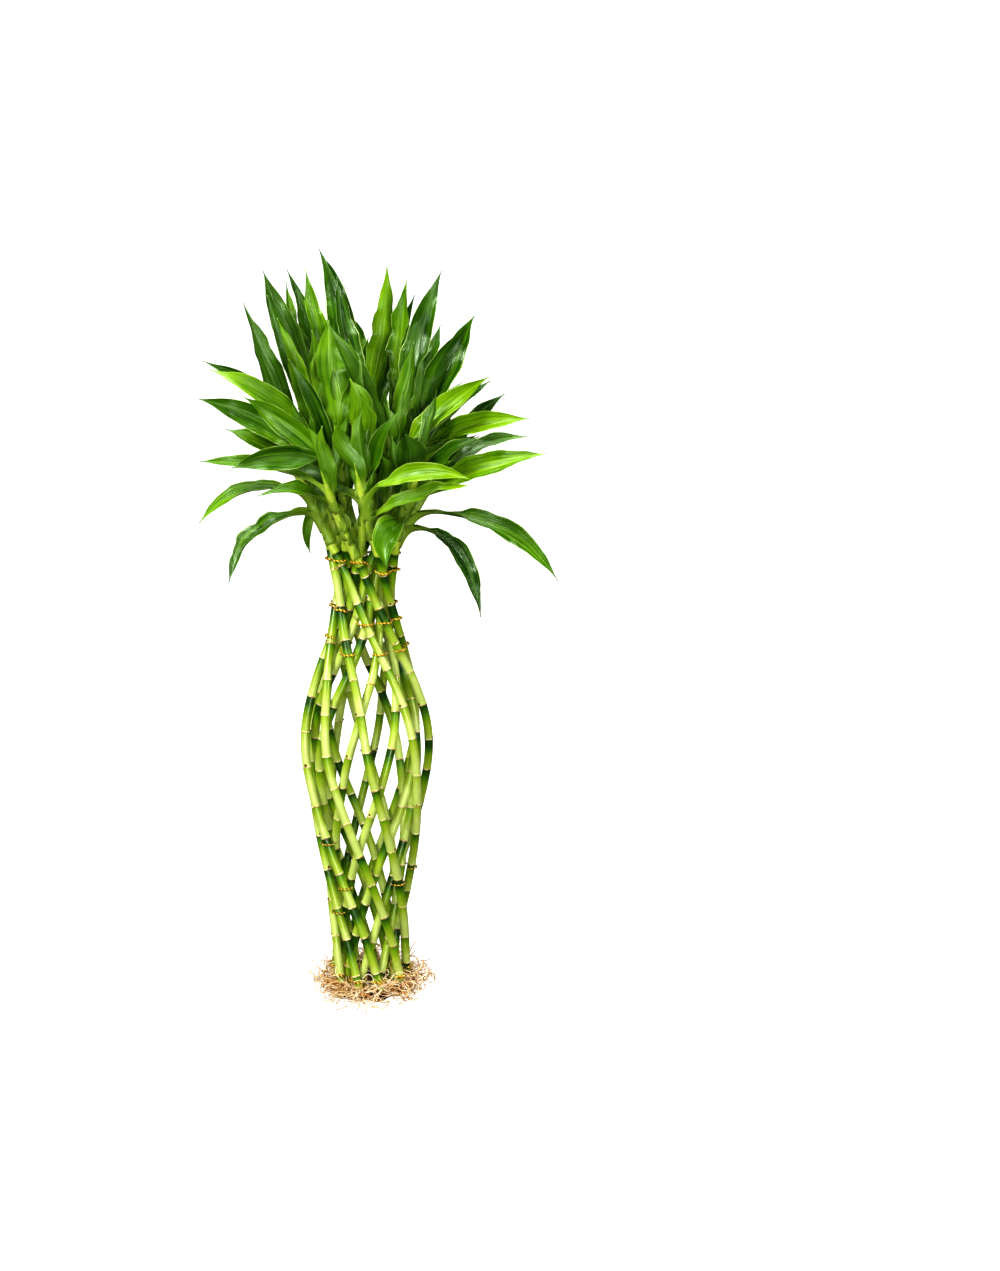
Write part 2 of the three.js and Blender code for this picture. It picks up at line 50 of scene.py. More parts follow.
# %% [markdown]
# The camera. The picture looks down on the plant a little, from about two and a half of its own heights
# away. From there a normal lens takes in the whole plant. The camera is placed from the picture: its
# height from how far the eye sees into the ring of feet, its distance from how much the near parts are
# larger than the far ones.

# %% Place the camera
IMAGE_HEIGHT = 1271
FOCAL_PIXELS = 1917
LOOK_DOWN = 13.5

camera_data = bpy.data.cameras.new("camera")
camera_data.sensor_width = 36
camera_data.lens = camera_data.sensor_width * FOCAL_PIXELS / IMAGE_HEIGHT
camera = bpy.data.objects.new("camera", camera_data)
camera.location = (0.1615, -2.232, 0.9833)
camera.rotation_euler = (math.radians(90 - LOOK_DOWN), 0, 0)
bpy.context.scene.collection.objects.link(camera)
bpy.context.scene.camera = camera
bpy.context.scene.view_settings.view_transform = "Standard"
bpy.context.scene.view_settings.look = "High Contrast"
print("camera lens", round(camera_data.lens, 1), "mm")

# %% [markdown]
# The studio. A white cove runs along the floor and curves up all round, so that no horizon shows
# from any side. It could be a flat floor and a wall, but their corner would draw a line. It glows
# by itself, as a wall of light does behind a product, and its light is kept off the plant: white
# light from behind would wash the edges of the canes out.

# %% Build the white cove
def quads_between(lower, upper):
    """Faces between rows of point numbers and the rows above them, closed round."""
    corners = [lower, np.roll(lower, -1, axis=1), np.roll(upper, -1, axis=1), upper]
    return np.stack(corners, -1).reshape(-1, 4).tolist()


def white_cove(floor_radius=4.0, bend_radius=2.0, top=9.0, sides=64, bend_steps=16):
    outline = [(0.01, 0.0), (floor_radius, 0.0)]
    for step in range(1, bend_steps + 1):
        turn = math.radians(90 * step / bend_steps)
        outline.append((floor_radius + bend_radius * math.sin(turn), bend_radius * (1 - math.cos(turn))))
    outline.append((floor_radius + bend_radius, top))
    turns = [2 * math.pi * k / sides for k in range(sides)]
    points = [(reach * math.cos(t), reach * math.sin(t), z) for reach, z in outline for t in turns]
    numbers = np.arange(len(points)).reshape(len(outline), sides)
    faces = quads_between(numbers[:-1], numbers[1:])
    mesh = bpy.data.meshes.new("studio_cove")
    mesh.from_pydata(points, [], faces)
    mesh.polygons.foreach_set("use_smooth", [True] * len(faces))
    cove = bpy.data.objects.new("studio_cove", mesh)
    bpy.context.scene.collection.objects.link(cove)
    for ray in ("diffuse", "glossy", "transmission", "shadow"):
        setattr(cove, "visible_" + ray, False)
    return cove


def glowing_paper(name, paper, glow):
    """White paper that returns a little of the lamps' light and glows with the rest."""
    material = bpy.data.materials.new(name)
    material.use_nodes = True
    inputs = {"Base Color": (paper, paper, paper, 1), "Roughness": 1.0, "Specular IOR Level": 0.0}
    inputs.update({"Emission Color": (1, 1, 1, 1), "Emission Strength": glow})
    for socket, value in inputs.items():
        material.node_tree.nodes["Principled BSDF"].inputs[socket].default_value = value
    return material


studio_cove = white_cove()
studio_cove.data.materials.append(glowing_paper("studio_paper", 0.06, 0.98))
print("studio cove", len(studio_cove.data.polygons), "faces")

# %% [markdown]
# The light. One big soft lamp stands to the front left and high, a weaker one to the right, a
# third above, a low one in front for the feet and the roots, and a weak one behind. A pale sky
# fills the shadows. Glossy leaves need something bright and wide to mirror, and round canes look
# round only where their sides fall off into shade.

# %% Set the lamps
def soft_lamp(name, place, aim, size, watts):
    data = bpy.data.lights.new(name, "AREA")
    data.shape = "DISK"
    data.size = size
    data.energy = watts
    lamp = bpy.data.objects.new(name, data)
    lamp.location = place
    direction = Vector(aim) - Vector(place)
    lamp.rotation_euler = direction.to_track_quat("-Z", "Y").to_euler()
    bpy.context.scene.collection.objects.link(lamp)
    return lamp


HEAD_CENTRE = (0, 0, 0.55)
soft_lamp("key_lamp", (-1.5, -1.9, 2.4), HEAD_CENTRE, 1.3, 84)
soft_lamp("side_lamp", (2.3, -1.6, 1.6), HEAD_CENTRE, 0.9, 27)
soft_lamp("top_lamp", (0.3, 0.3, 2.9), HEAD_CENTRE, 1.9, 74)
soft_lamp("low_lamp", (0.2, -2.2, 0.2), (0, 0, 0.2), 1.2, 18)
soft_lamp("back_lamp", (-1.2, 2.4, 1.2), HEAD_CENTRE, 1.6, 26)
world = bpy.data.worlds.new("studio_sky")
bpy.context.scene.world = world
world.use_nodes = True
sky = world.node_tree.nodes["Background"]
sky.inputs["Color"].default_value = (1, 1, 1, 1)
sky.inputs["Strength"].default_value = 0.08

# %% [markdown]
# Reading the model's shapes back. The model is made of rings of points joined in order: six
# round a cane, four round a leaf. Its meshes are welded, and the rings come back one after
# another by walking from the first to its neighbours. So nothing is measured twice.

# %% Walk a mesh ring by ring
WELD = 0.02 * MM


def welded(node):
    shape = bmesh.new()
    shape.from_mesh(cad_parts[node].data)
    bmesh.ops.remove_doubles(shape, verts=shape.verts, dist=WELD)
    return shape


def rings_from(first, size, most=99):
    """Each next ring is what the last one touches. It stops where a ring isn't of that size."""
    seen = set(first)
    rings = [list(first)]
    while len(rings) < most:
        touched = {e.other_vert(v) for v in rings[-1] for e in v.link_edges} - seen
        if len(touched) != size:
            break
        seen |= touched
        rings.append(sorted(touched, key=lambda v: v.index))
    return rings


def middle(ring):
    return sum((v.co for v in ring), Vector()) / len(ring)


def cane_rings(node, sides=6):
    shape = welded(node)
    lowest = min(shape.verts, key=lambda v: v.co.z)
    first = sorted(shape.verts, key=lambda v: (v.co - lowest.co).length)[:sides]
    centres = [middle(ring) for ring in rings_from(first, sides)]
    shape.free()
    return centres


example = cane_rings("cane_outer_3")
print("cane_outer_3 has", len(example), "rings, from", example[0], "to", example[-1])

# %% [markdown]
# Short words for numbers. The same few sums come back in every step: a direction of length one, a
# soft rise from 0 to 1, a mix of two values, and values read at any place along a line.

# %% Name the sums that come back
def unit(vectors):
    return vectors / np.maximum(np.linalg.norm(vectors, axis=-1, keepdims=True), 1e-12)


def soft_step(t):
    t = np.clip(t, 0, 1)
    return t * t * (3 - 2 * t)


def mix(a, b, t):
    return a + (b - a) * t


def gaps_and_run(points):
    """The gaps between points in a row, and how far along each point lies."""
    gaps = np.linalg.norm(np.diff(points, axis=0), axis=1)
    return gaps, np.concatenate([[0], np.cumsum(gaps)])


def read_at(places, run, vectors):
    """Vectors kept along a line, read at other places on it."""
    return np.stack([np.interp(places, run, vectors[:, k]) for k in range(3)], -1)


print("a soft step passes", [round(float(soft_step(t)), 2) for t in (0, 0.25, 0.5, 0.75, 1)])

# %% [markdown]
# A smooth line through a few points. The canes bend gently, so a cubic piece between each two
# points, with slopes taken from the neighbours, is close to how the living cane lies. The line
# is kept as points about a millimetre apart, with the length run so far.

# %% Draw smooth lines
class Line:
    def __init__(self, points, step=1.0 * MM, start_slope=None):
        points = np.array([tuple(p) for p in points], float)
        gaps, places = gaps_and_run(points)
        slopes = np.gradient(points, places, axis=0)
        if start_slope is not None:
            slopes[0] = start_slope
        pieces = []
        for k, gap in enumerate(gaps):
            # The end is left to the next piece, because two points in one place have no slope.
            t = np.arange(0, 1 - 1e-6, step / gap)[:, None] if gap > step else np.array([[0.0]])
            rise = t * t * (3 - 2 * t)
            lead = t * (1 - t) ** 2 * slopes[k] * gap
            trail = t * t * (1 - t) * slopes[k + 1] * gap
            pieces.append(points[k] * (1 - rise) + points[k + 1] * rise + lead - trail)
        self.points = np.concatenate([*pieces, points[-1:]])
        _, self.run = gaps_and_run(self.points)
        self.length = self.run[-1]
        self.slopes = np.gradient(self.points, self.run, axis=0)

    def at(self, places):
        return read_at(places, self.run, self.points)

    def along(self, places):
        return unit(read_at(places, self.run, self.slopes))

    def nearest(self, point):
        return self.run[np.argmin(np.linalg.norm(self.points - np.array(point), axis=1))]


example_line = Line(example)
print("cane_outer_3 is", round(float(example_line.length), 3), "m long")

# %% [markdown]
# Gathering a piece. A cane, a stem or a leaf is a grid of points: rows along it, columns round
# it. Each grid also carries painted values, such as how far along the blade a point is, which
# the materials read later. Many grids are gathered into one mesh, which is quicker than joining.

# %% Gather grids into a piece
class Gathered:
    def __init__(self, *value_names):
        self.points = []
        self.faces = []
        self.finishes = []
        self.values = {name: [] for name in value_names}
        self.count = 0

    def add_grid(self, rows, finish=0, joined=False, **values):
        """Rows of points, closed round. The last row joins the first, or both ends are closed."""
        height, width, _ = rows.shape
        here = self.count + np.arange(height * width).reshape(height, width)
        if joined:
            faces = quads_between(here, np.roll(here, -1, axis=0))
        else:
            faces = quads_between(here[:-1], here[1:])
            faces += closing_faces(here[0].tolist(), True) + closing_faces(here[-1].tolist(), False)
        self.faces.extend(faces)
        self.finishes.extend([finish] * len(faces))
        self.points.append(rows.reshape(-1, 3))
        for name, gathered in self.values.items():
            value = values.get(name, 0.0)
            gathered.append(np.broadcast_to(value, (height, width)).reshape(-1))
        self.count += height * width


def closing_faces(row, turned):
    """Quads from one side of an even ring to the other."""
    count = len(row)
    faces = []
    for k in range(count // 2 - 1):
        face = [row[k], row[k + 1], row[count - 2 - k], row[count - 1 - k]]
        if turned:
            face.reverse()
        faces.append(face)
    return faces


print("a ring of six is closed by", closing_faces([0, 1, 2, 3, 4, 5], False))

# %% [markdown]
# Making a piece. The gathered grids become one mesh. It takes the place of one node of the model and rides
# on the plant's only body.

# %% Turn what is gathered into a piece
def make_piece(name, gathered, materials, node):
    """A mesh that takes the place of one node of the model and rides on its body."""
    mesh = bpy.data.meshes.new(name)
    mesh.from_pydata(np.concatenate(gathered.points), [], gathered.faces)
    mesh.polygons.foreach_set("use_smooth", [True] * len(gathered.faces))
    mesh.polygons.foreach_set("material_index", gathered.finishes)
    for value_name, parts in gathered.values.items():
        painted = mesh.attributes.new(value_name, "FLOAT", "POINT")
        painted.data.foreach_set("value", np.concatenate(parts).astype(np.float32))
    for material in materials:
        mesh.materials.append(material)
    piece = bpy.data.objects.new(name, mesh)
    bpy.context.scene.collection.objects.link(piece)
    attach(piece, "root")
    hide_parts(node)
    return piece


def tell(what, pieces):
    print(len(pieces), what + ",", sum(len(piece.data.polygons) for piece in pieces), "faces")


print(len(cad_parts), "nodes are to be replaced, one piece each")

# %% [markdown]
# Rings round a line. Each ring stands square to the line and starts at the side that faces away
# from the middle of the plant, so neighbouring rings don't twist against each other.

# %% Stand rings round a line
def ring_axes(along, towards):
    side = unit(np.cross(along, towards))
    return np.cross(side, along), side


def turns_of(sides):
    return 2 * math.pi * np.arange(sides) / sides


def round_rings(centres, along, towards, radii, sides):
    out, side = ring_axes(along, towards)
    turns = turns_of(sides)
    radii = np.asarray(radii, float)
    if radii.ndim == 1:
        radii = radii[:, None]
    spread = np.broadcast_to(radii, (len(centres), sides))[..., None]
    return (
        centres[:, None]
        + spread * np.cos(turns)[None, :, None] * out[:, None]
        + spread * np.sin(turns)[None, :, None] * side[:, None]
    )


def add_tube(piece, line, places, radii, sides, **values):
    """Rings round a smooth line. Their turn is painted too, so that streaks can run along it."""
    middles = line.at(places)
    towards = middles * np.array([1, 1, 0])
    rings = round_rings(middles, line.along(places), towards, radii, sides)
    piece.add_grid(rings, round=3.0 * np.cos(turns_of(sides))[None], **values)


upright, right = np.array([[0, 0, 1.0]]), np.array([[1.0, 0, 0]])
print("a ring round an upright line starts towards", ring_axes(upright, right)[0])

# %% [markdown]
# A material's graph. A material is a small graph of nodes, and writing each link by hand hides
# the idea. These few helpers make a node, set its numbers and give back its output.

# %% Short words for shader nodes
def srgb(red, green, blue):
    """A colour as a paint program shows it, 0 to 255, turned into light."""
    shares = (red / 255, green / 255, blue / 255)
    return tuple(((s + 0.055) / 1.055) ** 2.4 if s > 0.04 else s / 12.92 for s in shares)


class Graph:
    def __init__(self, name):
        self.material = bpy.data.materials.new(name)
        self.material.use_nodes = True
        self.tree = self.material.node_tree
        self.shader = self.tree.nodes["Principled BSDF"]
        self.output = self.tree.nodes["Material Output"]

    def put(self, socket, value):
        if isinstance(value, bpy.types.NodeSocket):
            self.tree.links.new(value, socket)
        elif isinstance(value, tuple) and len(value) == 3 and socket.type == "RGBA":
            socket.default_value = (*value, 1)
        else:
            socket.default_value = value

    def node(self, kind, inputs=(), **settings):
        made = self.tree.nodes.new(kind)
        for key, value in settings.items():
            setattr(made, key, value)
        for key, value in dict(inputs).items():
            self.put(made.inputs[key], value)
        return made

    def shade(self, inputs):
        for name, value in inputs.items():
            self.put(self.shader.inputs[name], value)

    def painted(self, name):
        return self.node("ShaderNodeAttribute", attribute_name=name).outputs["Fac"]

    def math(self, operation, a, b=0.0, clamp=False):
        made = self.node("ShaderNodeMath", {0: a, 1: b}, operation=operation, use_clamp=clamp)
        return made.outputs[0]

    def times(self, a, b):
        return self.math("MULTIPLY", a, b)

    def plus(self, total, *others):
        for other in others:
            total = self.math("ADD", total, other)
        return total


print("pale lime is", [round(c, 3) for c in srgb(190, 215, 115)])

# %% [markdown]
# Recipes for skins. Every skin here is mixed from the same few things: noise, a smooth change
# between two values, a blend of two colours, a ramp of several, and a fine relief.

# %% Short words for skins
class Recipe(Graph):
    def swing(self, noise, size):
        """Noise between 0 and 1 turned into a swing that much up and down in all."""
        return self.times(self.math("SUBTRACT", noise, 0.5), size)

    def spread(self, value, low, high, to_low=0.0, to_high=1.0):
        inputs = {"Value": value, "From Min": low, "From Max": high, "To Min": to_low, "To Max": to_high}
        made = self.node("ShaderNodeMapRange", inputs, interpolation_type="SMOOTHSTEP")
        return made.outputs[0]

    def blend(self, share, a, b):
        made = self.node("ShaderNodeMix", data_type="RGBA")
        self.put(made.inputs["Factor"], share)
        self.put(made.inputs[6], a)
        self.put(made.inputs[7], b)
        return made.outputs[2]

    def ramp(self, value, stops):
        """Colours at places between 0 and 1, blended evenly from one to the next."""
        made = self.node("ShaderNodeValToRGB", {"Fac": value})
        elements = made.color_ramp.elements
        while len(elements) < len(stops):
            elements.new(0.5)
        for element, (place, colour) in zip(elements, stops):
            element.position = place
            element.color = (*colour, 1)
        return made.outputs["Color"]

    def noise(self, where, scale, detail=2.0, roughness=0.5):
        inputs = {"Vector": where, "Scale": scale, "Detail": detail, "Roughness": roughness}
        return self.node("ShaderNodeTexNoise", inputs).outputs["Fac"]

    def place(self):
        return self.node("ShaderNodeTexCoord").outputs["Object"]

    def vector(self, x, y, z):
        return self.node("ShaderNodeCombineXYZ", {0: x, 1: y, 2: z}).outputs[0]

    def bump(self, height, strength, distance):
        inputs = {"Height": height, "Strength": strength, "Distance": distance}
        self.shade({"Normal": self.node("ShaderNodeBump", inputs).outputs[0]})

    def done(self):
        print(self.material.name, "has", len(self.tree.nodes), "nodes")
        return self.material


print("a recipe knows", [word for word in vars(Recipe) if not word.startswith("_")])

# %% [markdown]
# Cane skin. On the real plant each length between two rings is dark green under its upper ring
# and fades down to pale lime, and the ring itself is a thin tan line. The painted value "rise"
# runs from 0 at the ring below to 1 at the ring above, so one ramp colours every length, and
# "tone" says how green that length is. Fine streaks run along the cane.

# %% Mix the cane skin
def cane_skin():
    recipe = Recipe("cane_skin")
    rise = recipe.painted("rise")
    tone = recipe.painted("tone")
    ring = recipe.painted("ring")
    where = recipe.place()
    cloud = recipe.noise(where, 60.0, 3.0)
    grain = recipe.vector(recipe.painted("round"), recipe.painted("run"), tone)
    streak = recipe.noise(grain, 1.0, 4.0, 0.6)
    cap_depth = recipe.plus(recipe.times(tone, 0.85), 0.45)
    cap = recipe.times(recipe.math("POWER", rise, 1.5), cap_depth)
    own_green = recipe.math("SUBTRACT", tone, 0.5)
    level = recipe.plus(cap, recipe.swing(cloud, 0.4), own_green, recipe.swing(streak, 0.45))
    colour = recipe.ramp(level, [
        (0.0, srgb(200, 217, 118)),
        (0.30, srgb(166, 190, 56)),
        (0.58, srgb(128, 164, 12)),
        (0.80, srgb(84, 132, 0)),
        (1.0, srgb(36, 80, 0)),
    ])
    ring_share = recipe.spread(recipe.plus(ring, recipe.swing(cloud, 0.7)), 0.15, 0.6)
    patches = recipe.spread(recipe.noise(where, 240.0, 2.0), 0.35, 0.6)
    ring_colour = recipe.blend(patches, srgb(176, 122, 62), srgb(250, 234, 186))
    colour = recipe.blend(ring_share, colour, ring_colour)
    bud_colour = recipe.blend(recipe.noise(where, 500.0), srgb(70, 44, 20), srgb(140, 100, 50))
    colour = recipe.blend(recipe.painted("bud"), colour, bud_colour)
    gloss = recipe.spread(streak, 0.2, 0.8, 0.24, 0.38)
    dry = recipe.math("MAXIMUM", ring_share, recipe.painted("bud"))
    recipe.shade({
        "Base Color": colour,
        "Roughness": recipe.plus(gloss, recipe.times(dry, 0.35)),
        "Specular IOR Level": 0.8,
        "Specular Tint": (0.95, 1.0, 0.85),
    })
    recipe.bump(recipe.plus(streak, recipe.times(cloud, 0.5)), 0.3, 0.4 * MM)
    return recipe.done()


CANE_SKIN = cane_skin()

# %% [markdown]
# The rows of a cane. It could be a plain tube, but its rings catch the light and roughen its
# outline. Close to each ring the rows stand about a millimetre apart and follow the little flare
# and ridge, and between rings they stand further apart. Each length between rings has a tone of
# its own, and the last one, under the leaves, is dark.

# %% Lay rows along a cane
CANE_TONES = (0.25, 0.4, 0.5, 0.6, 0.75)
TOP_TONE = 0.85
# The profile at a ring: height above it and what it adds to the radius, in millimetres.
RING_PROFILE = [
    (-6.0, 0.0, 0), (-2.6, 0.05, 0), (-1.2, 0.13, 0), (-0.7, 0.27, 1), (-0.2, 0.38, 1),
    (0.3, 0.36, 1), (0.7, 0.18, 0), (1.5, 0.08, 0), (4.0, 0.03, 0), (9.0, -0.05, 0),
]
BETWEEN_RINGS = 6.5 * MM


def ring_places(centres, line):
    """The model puts two rings of points at each joint: the second is the ridge."""
    return [line.nearest(c) for c in centres[2:-1:2]]


def cane_rows(line, places, rng):
    rows = []
    edges = [0.0, *places, line.length]
    tones = [rng.choice(CANE_TONES) + rng.uniform(-0.08, 0.08) for _ in edges]
    tones[len(places)] = TOP_TONE
    for k in range(len(edges) - 1):
        low, high = edges[k], edges[k + 1]
        marks = [(low + a * MM, add, ring) for a, add, ring in RING_PROFILE if a > 0 and k > 0]
        marks += [(high + a * MM, add, ring) for a, add, ring in RING_PROFILE if a < 0 and k < len(places)]
        marks.sort()
        if k == 0:
            marks.insert(0, (low, 0.0, 0))
        if k == len(places):
            marks.append((high, 0.0, 0))
        for mark, following in zip(marks, marks[1:] + [None]):
            rows.append((*mark, k, low, high))
            if following and following[0] - mark[0] > 1.5 * BETWEEN_RINGS:
                extra = int((following[0] - mark[0]) / BETWEEN_RINGS)
                for step in range(1, extra + 1):
                    share = step / (extra + 1)
                    between = (mix(mark[0], following[0], share), mix(mark[1], following[1], share))
                    rows.append((*between, 0, k, low, high))
    return rows, tones


example_places = ring_places(example, example_line)
print("cane_outer_3 has rings at", [round(float(place), 3) for place in example_places])

# %% [markdown]
# Buds. A small brown bud sits on about every second ring, where a side shoot would grow. It could
# be a speck of colour, but on the outline it stands up from the cane.

# %% Shape a bud
BUD_RINGS = ((0.0, 1.0), (0.35, 0.95), (0.7, 0.6), (1.0, 0.15))
BUD_SIDES = 6


def add_bud(piece, line, place, thick, rng):
    """A small pointed bud that leans up and out from the cane."""
    centre = line.at(place)
    along = line.along(place)
    turn = rng.uniform(0, 2 * math.pi)
    out, side = ring_axes(along[None], np.array([[centre[0], centre[1], 0]]))
    facing = out[0] * math.cos(turn) + side[0] * math.sin(turn)
    size = rng.uniform(1.0, 1.9) * MM
    axis = unit(facing + 0.8 * along)
    foot = centre + facing * (thick - 0.6 * MM)
    centres = np.array([foot + axis * size * 2.0 * far for far, _ in BUD_RINGS])
    radii = np.array([size * wide for _, wide in BUD_RINGS])
    copies = (len(centres), 1)
    rings = round_rings(centres, np.tile(axis, copies), np.tile(along, copies), radii, BUD_SIDES)
    piece.add_grid(rings, bud=1.0)


print("a bud has", len(BUD_RINGS) * BUD_SIDES, "points")

# %% [markdown]
# Shaping a cane. Its rows become rings round its line. The radius swells at the rings and is a
# little uneven all over, as no cane is turned on a lathe, and some canes are thicker than others.

# %% Shape the canes
CANE_RADIUS = 5.3 * MM
CANE_SIDES = 20
BUD_SHARE = 0.45


def shape_cane(layer, number):
    node = f"cane_{layer}_{number}"
    rng = random.Random(f"cane {layer} {number}")
    centres = cane_rings(node)
    line = Line(centres)
    places = ring_places(centres, line)
    rows, tones = cane_rows(line, places, rng)
    at = np.array([row[0] for row in rows])
    added = np.array([row[1] for row in rows]) * MM
    ring = np.array([row[2] for row in rows], float)
    rise = np.array([(a - low) / (high - low) for a, _, _, _, low, high in rows])
    tone = np.array([tones[row[3]] for row in rows])
    thick = CANE_RADIUS * rng.uniform(0.94, 1.04)
    turns = turns_of(CANE_SIDES)[None]
    uneven = 1 + 0.012 * np.sin(2 * turns + 3 * tone[:, None])
    uneven = uneven + 0.01 * np.sin(at[:, None] * 90 + turns)
    radii = (thick + added[:, None]) * uneven
    painted = {"rise": rise, "tone": tone, "ring": ring, "run": 6.0 * at}
    painted = {name: value[:, None] for name, value in painted.items()}
    piece = Gathered("rise", "tone", "ring", "round", "run", "bud")
    add_tube(piece, line, at, radii, CANE_SIDES, **painted)
    for place in places[1:-1]:
        if rng.random() < BUD_SHARE:
            add_bud(piece, line, place + 1.5 * MM, thick, rng)
    return make_piece(f"ringed_cane_{layer}_{number}", piece, [CANE_SKIN], node)


tell("canes", [shape_cane(*cane) for cane in CANES])

# %% [markdown]
# Leaf skin. A blade is mid green with fine veins that run side by side from foot to tip, paler towards its
# foot, with a pale rib. The broad streaks along the veins are partly the veins' own colour and partly
# painted light and shade, where the ridges between them face the light or turn from it. The thin light
# margin is a painted highlight, where the thin edge catches the light. Light comes through the blade, so
# part of the shader is translucent. Painted values carry the place across and along the blade.

# %% Mix the leaf skin
def leaf_skin():
    recipe = Recipe("leaf_skin")
    across = recipe.painted("across")
    along = recipe.painted("along")
    tone = recipe.painted("tone")
    where = recipe.place()
    off_rib = recipe.math("ABSOLUTE", across)
    seed = recipe.times(tone, 40.0)

    def streaks(crowded, drawn):
        """A place that runs fast across the blade and slowly along it."""
        return recipe.vector(recipe.times(across, crowded), recipe.times(along, drawn), seed)

    # Vein streaks: their colour is partly the veins' own and partly painted light and shade of the ridges.
    # The same noise also sets the gloss and the relief.
    veins_and_ridge_shade = recipe.noise(streaks(4.5, 1.2), 1.0, 3.0, 0.65)
    fine = recipe.noise(streaks(26.0, 2.0), 1.0, 2.0)
    cloud = recipe.swing(recipe.noise(where, 22.0, 2.0), 0.5)
    level = recipe.plus(tone, recipe.swing(veins_and_ridge_shade, 1.1), recipe.swing(fine, 0.35), cloud)
    colour = recipe.ramp(level, [
        (0.0, srgb(22, 62, 0)),
        (0.35, srgb(82, 132, 0)),
        (0.62, srgb(136, 182, 0)),
        (1.0, srgb(196, 230, 16)),
    ])
    foot = recipe.spread(along, 0.0, 0.25, 0.85, 0.0)
    colour = recipe.blend(foot, colour, srgb(184, 212, 72))
    rib_fade = recipe.spread(along, 0.1, 0.9, 0.45, 0.1)
    rib = recipe.times(recipe.spread(off_rib, 0.01, 0.05, 1.0, 0.0), rib_fade)
    colour = recipe.blend(rib, colour, srgb(150, 195, 60))
    # The pale margin is a painted highlight along the thin edge. It fades out before the tip.
    rim_highlight_fade = recipe.spread(along, 0.7, 0.92, 1.0, 0.0)
    pale_rim_highlight = recipe.times(recipe.spread(off_rib, 0.93, 0.98, 0.0, 0.8), rim_highlight_fade)
    colour = recipe.blend(pale_rim_highlight, colour, srgb(200, 222, 120))
    dull = recipe.times(recipe.painted("under"), 0.3)
    colour = recipe.blend(dull, colour, srgb(112, 156, 52))
    recipe.shade({
        "Base Color": colour,
        "Roughness": recipe.spread(veins_and_ridge_shade, 0.25, 0.75, 0.24, 0.36),
        "Specular IOR Level": 1.0,
        "Specular Tint": (0.85, 1.0, 0.75),
    })
    height = recipe.plus(veins_and_ridge_shade, recipe.times(fine, 0.08))
    # The veins crowd together towards the tip, so they stand up less there.
    vein_fade = recipe.spread(along, 0.6, 1.0, 1.0, 0.15)
    recipe.bump(recipe.times(height, vein_fade), 1.0, 1.8 * MM)
    light_through = recipe.blend(0.5, colour, srgb(170, 225, 0))
    through = recipe.node("ShaderNodeBsdfTranslucent", {"Color": light_through})
    both = {0: 0.22, 1: recipe.shader.outputs[0], 2: through.outputs[0]}
    mixed = recipe.node("ShaderNodeMixShader", both)
    recipe.put(recipe.output.inputs["Surface"], mixed.outputs[0])
    return recipe.done()


LEAF_SKIN = leaf_skin()

# %% [markdown]
# Stem skin. The stem of a head is younger than its cane: pale yellow-green, with soft streaks
# along it and a faint paler ring where each fallen leaf once sat. No light comes through it.

# %% Mix the stem skin
def stem_skin():
    recipe = Recipe("stem_skin")
    where = recipe.place()
    grain = recipe.vector(recipe.painted("round"), recipe.painted("run"), recipe.painted("tone"))
    streak = recipe.noise(grain, 1.0, 4.0)
    cloud = recipe.noise(where, 70.0, 3.0)
    share = recipe.plus(recipe.times(streak, 0.6), recipe.times(cloud, 0.4))
    colour = recipe.blend(recipe.spread(share, 0.3, 0.7), srgb(142, 182, 16), srgb(214, 232, 92))
    ring = recipe.times(recipe.painted("ring"), 0.4)
    colour = recipe.blend(ring, colour, srgb(206, 206, 120))
    recipe.shade({"Base Color": colour, "Roughness": recipe.spread(streak, 0.2, 0.8, 0.3, 0.48)})
    recipe.bump(streak, 0.2, 0.3 * MM)
    return recipe.done()


STEM_SKIN = stem_skin()

# %% [markdown]
# Measuring a leaf of the model. A blade there is a row of rings of four points: two at its edges
# and two at its rib. One ring near the middle tells how wide the leaf is and how far it is rolled
# about its rib.

# %% Measure one blade
def model_width(t):
    """Half width along a blade of the model, as a share of its widest."""
    return t ** 1.25 * (1 - t) ** 1.45 / 0.155


def edge_and_rib(ring):
    """A ring of four: the two points furthest apart are the blade's edges."""
    pairs = [(a, b) for i, a in enumerate(ring) for b in ring[i + 1:]]
    edges = max(pairs, key=lambda pair: (pair[0].co - pair[1].co).length)
    return edges, [v for v in ring if v not in edges]


def measured_blade(foot, knee, end, ring, t):
    chord = end - foot
    across = unit(np.array([-chord[1], chord[0], 0.0]))
    direction = unit(2 * (1 - t) * (knee - foot) + 2 * t * (end - knee))
    up = unit(np.cross(direction, across))
    side = np.cross(up, direction)
    (a, b), (c, d) = edge_and_rib(ring)
    width = np.array(a.co - b.co)
    face = np.array((a.co + b.co) / 2 - (c.co + d.co) / 2)
    if np.dot(np.cross(direction, width), face) < 0:
        width = -width
    roll = math.atan2(float(np.dot(width, up)), float(np.dot(width, side)))
    half = float(np.linalg.norm(width)) / 2 / model_width(t)
    return {"foot": foot, "knee": knee, "tip": end, "half": half, "roll": roll, "across": across}


print("a third of the way up a blade is", round(model_width(0.33), 2), "of its full width")

# %% [markdown]
# Finding the leaves of a head. In the model every blade ends in one point that four edges meet
# in. From there the walk gives its rings at known shares of the blade. A quadratic curve through
# the ring middles gives back the whole rib, down to its foot inside the stem.

# %% Find every blade
BLADE_STATIONS = (0.83, 0.65, 0.47, 0.3, 0.14)


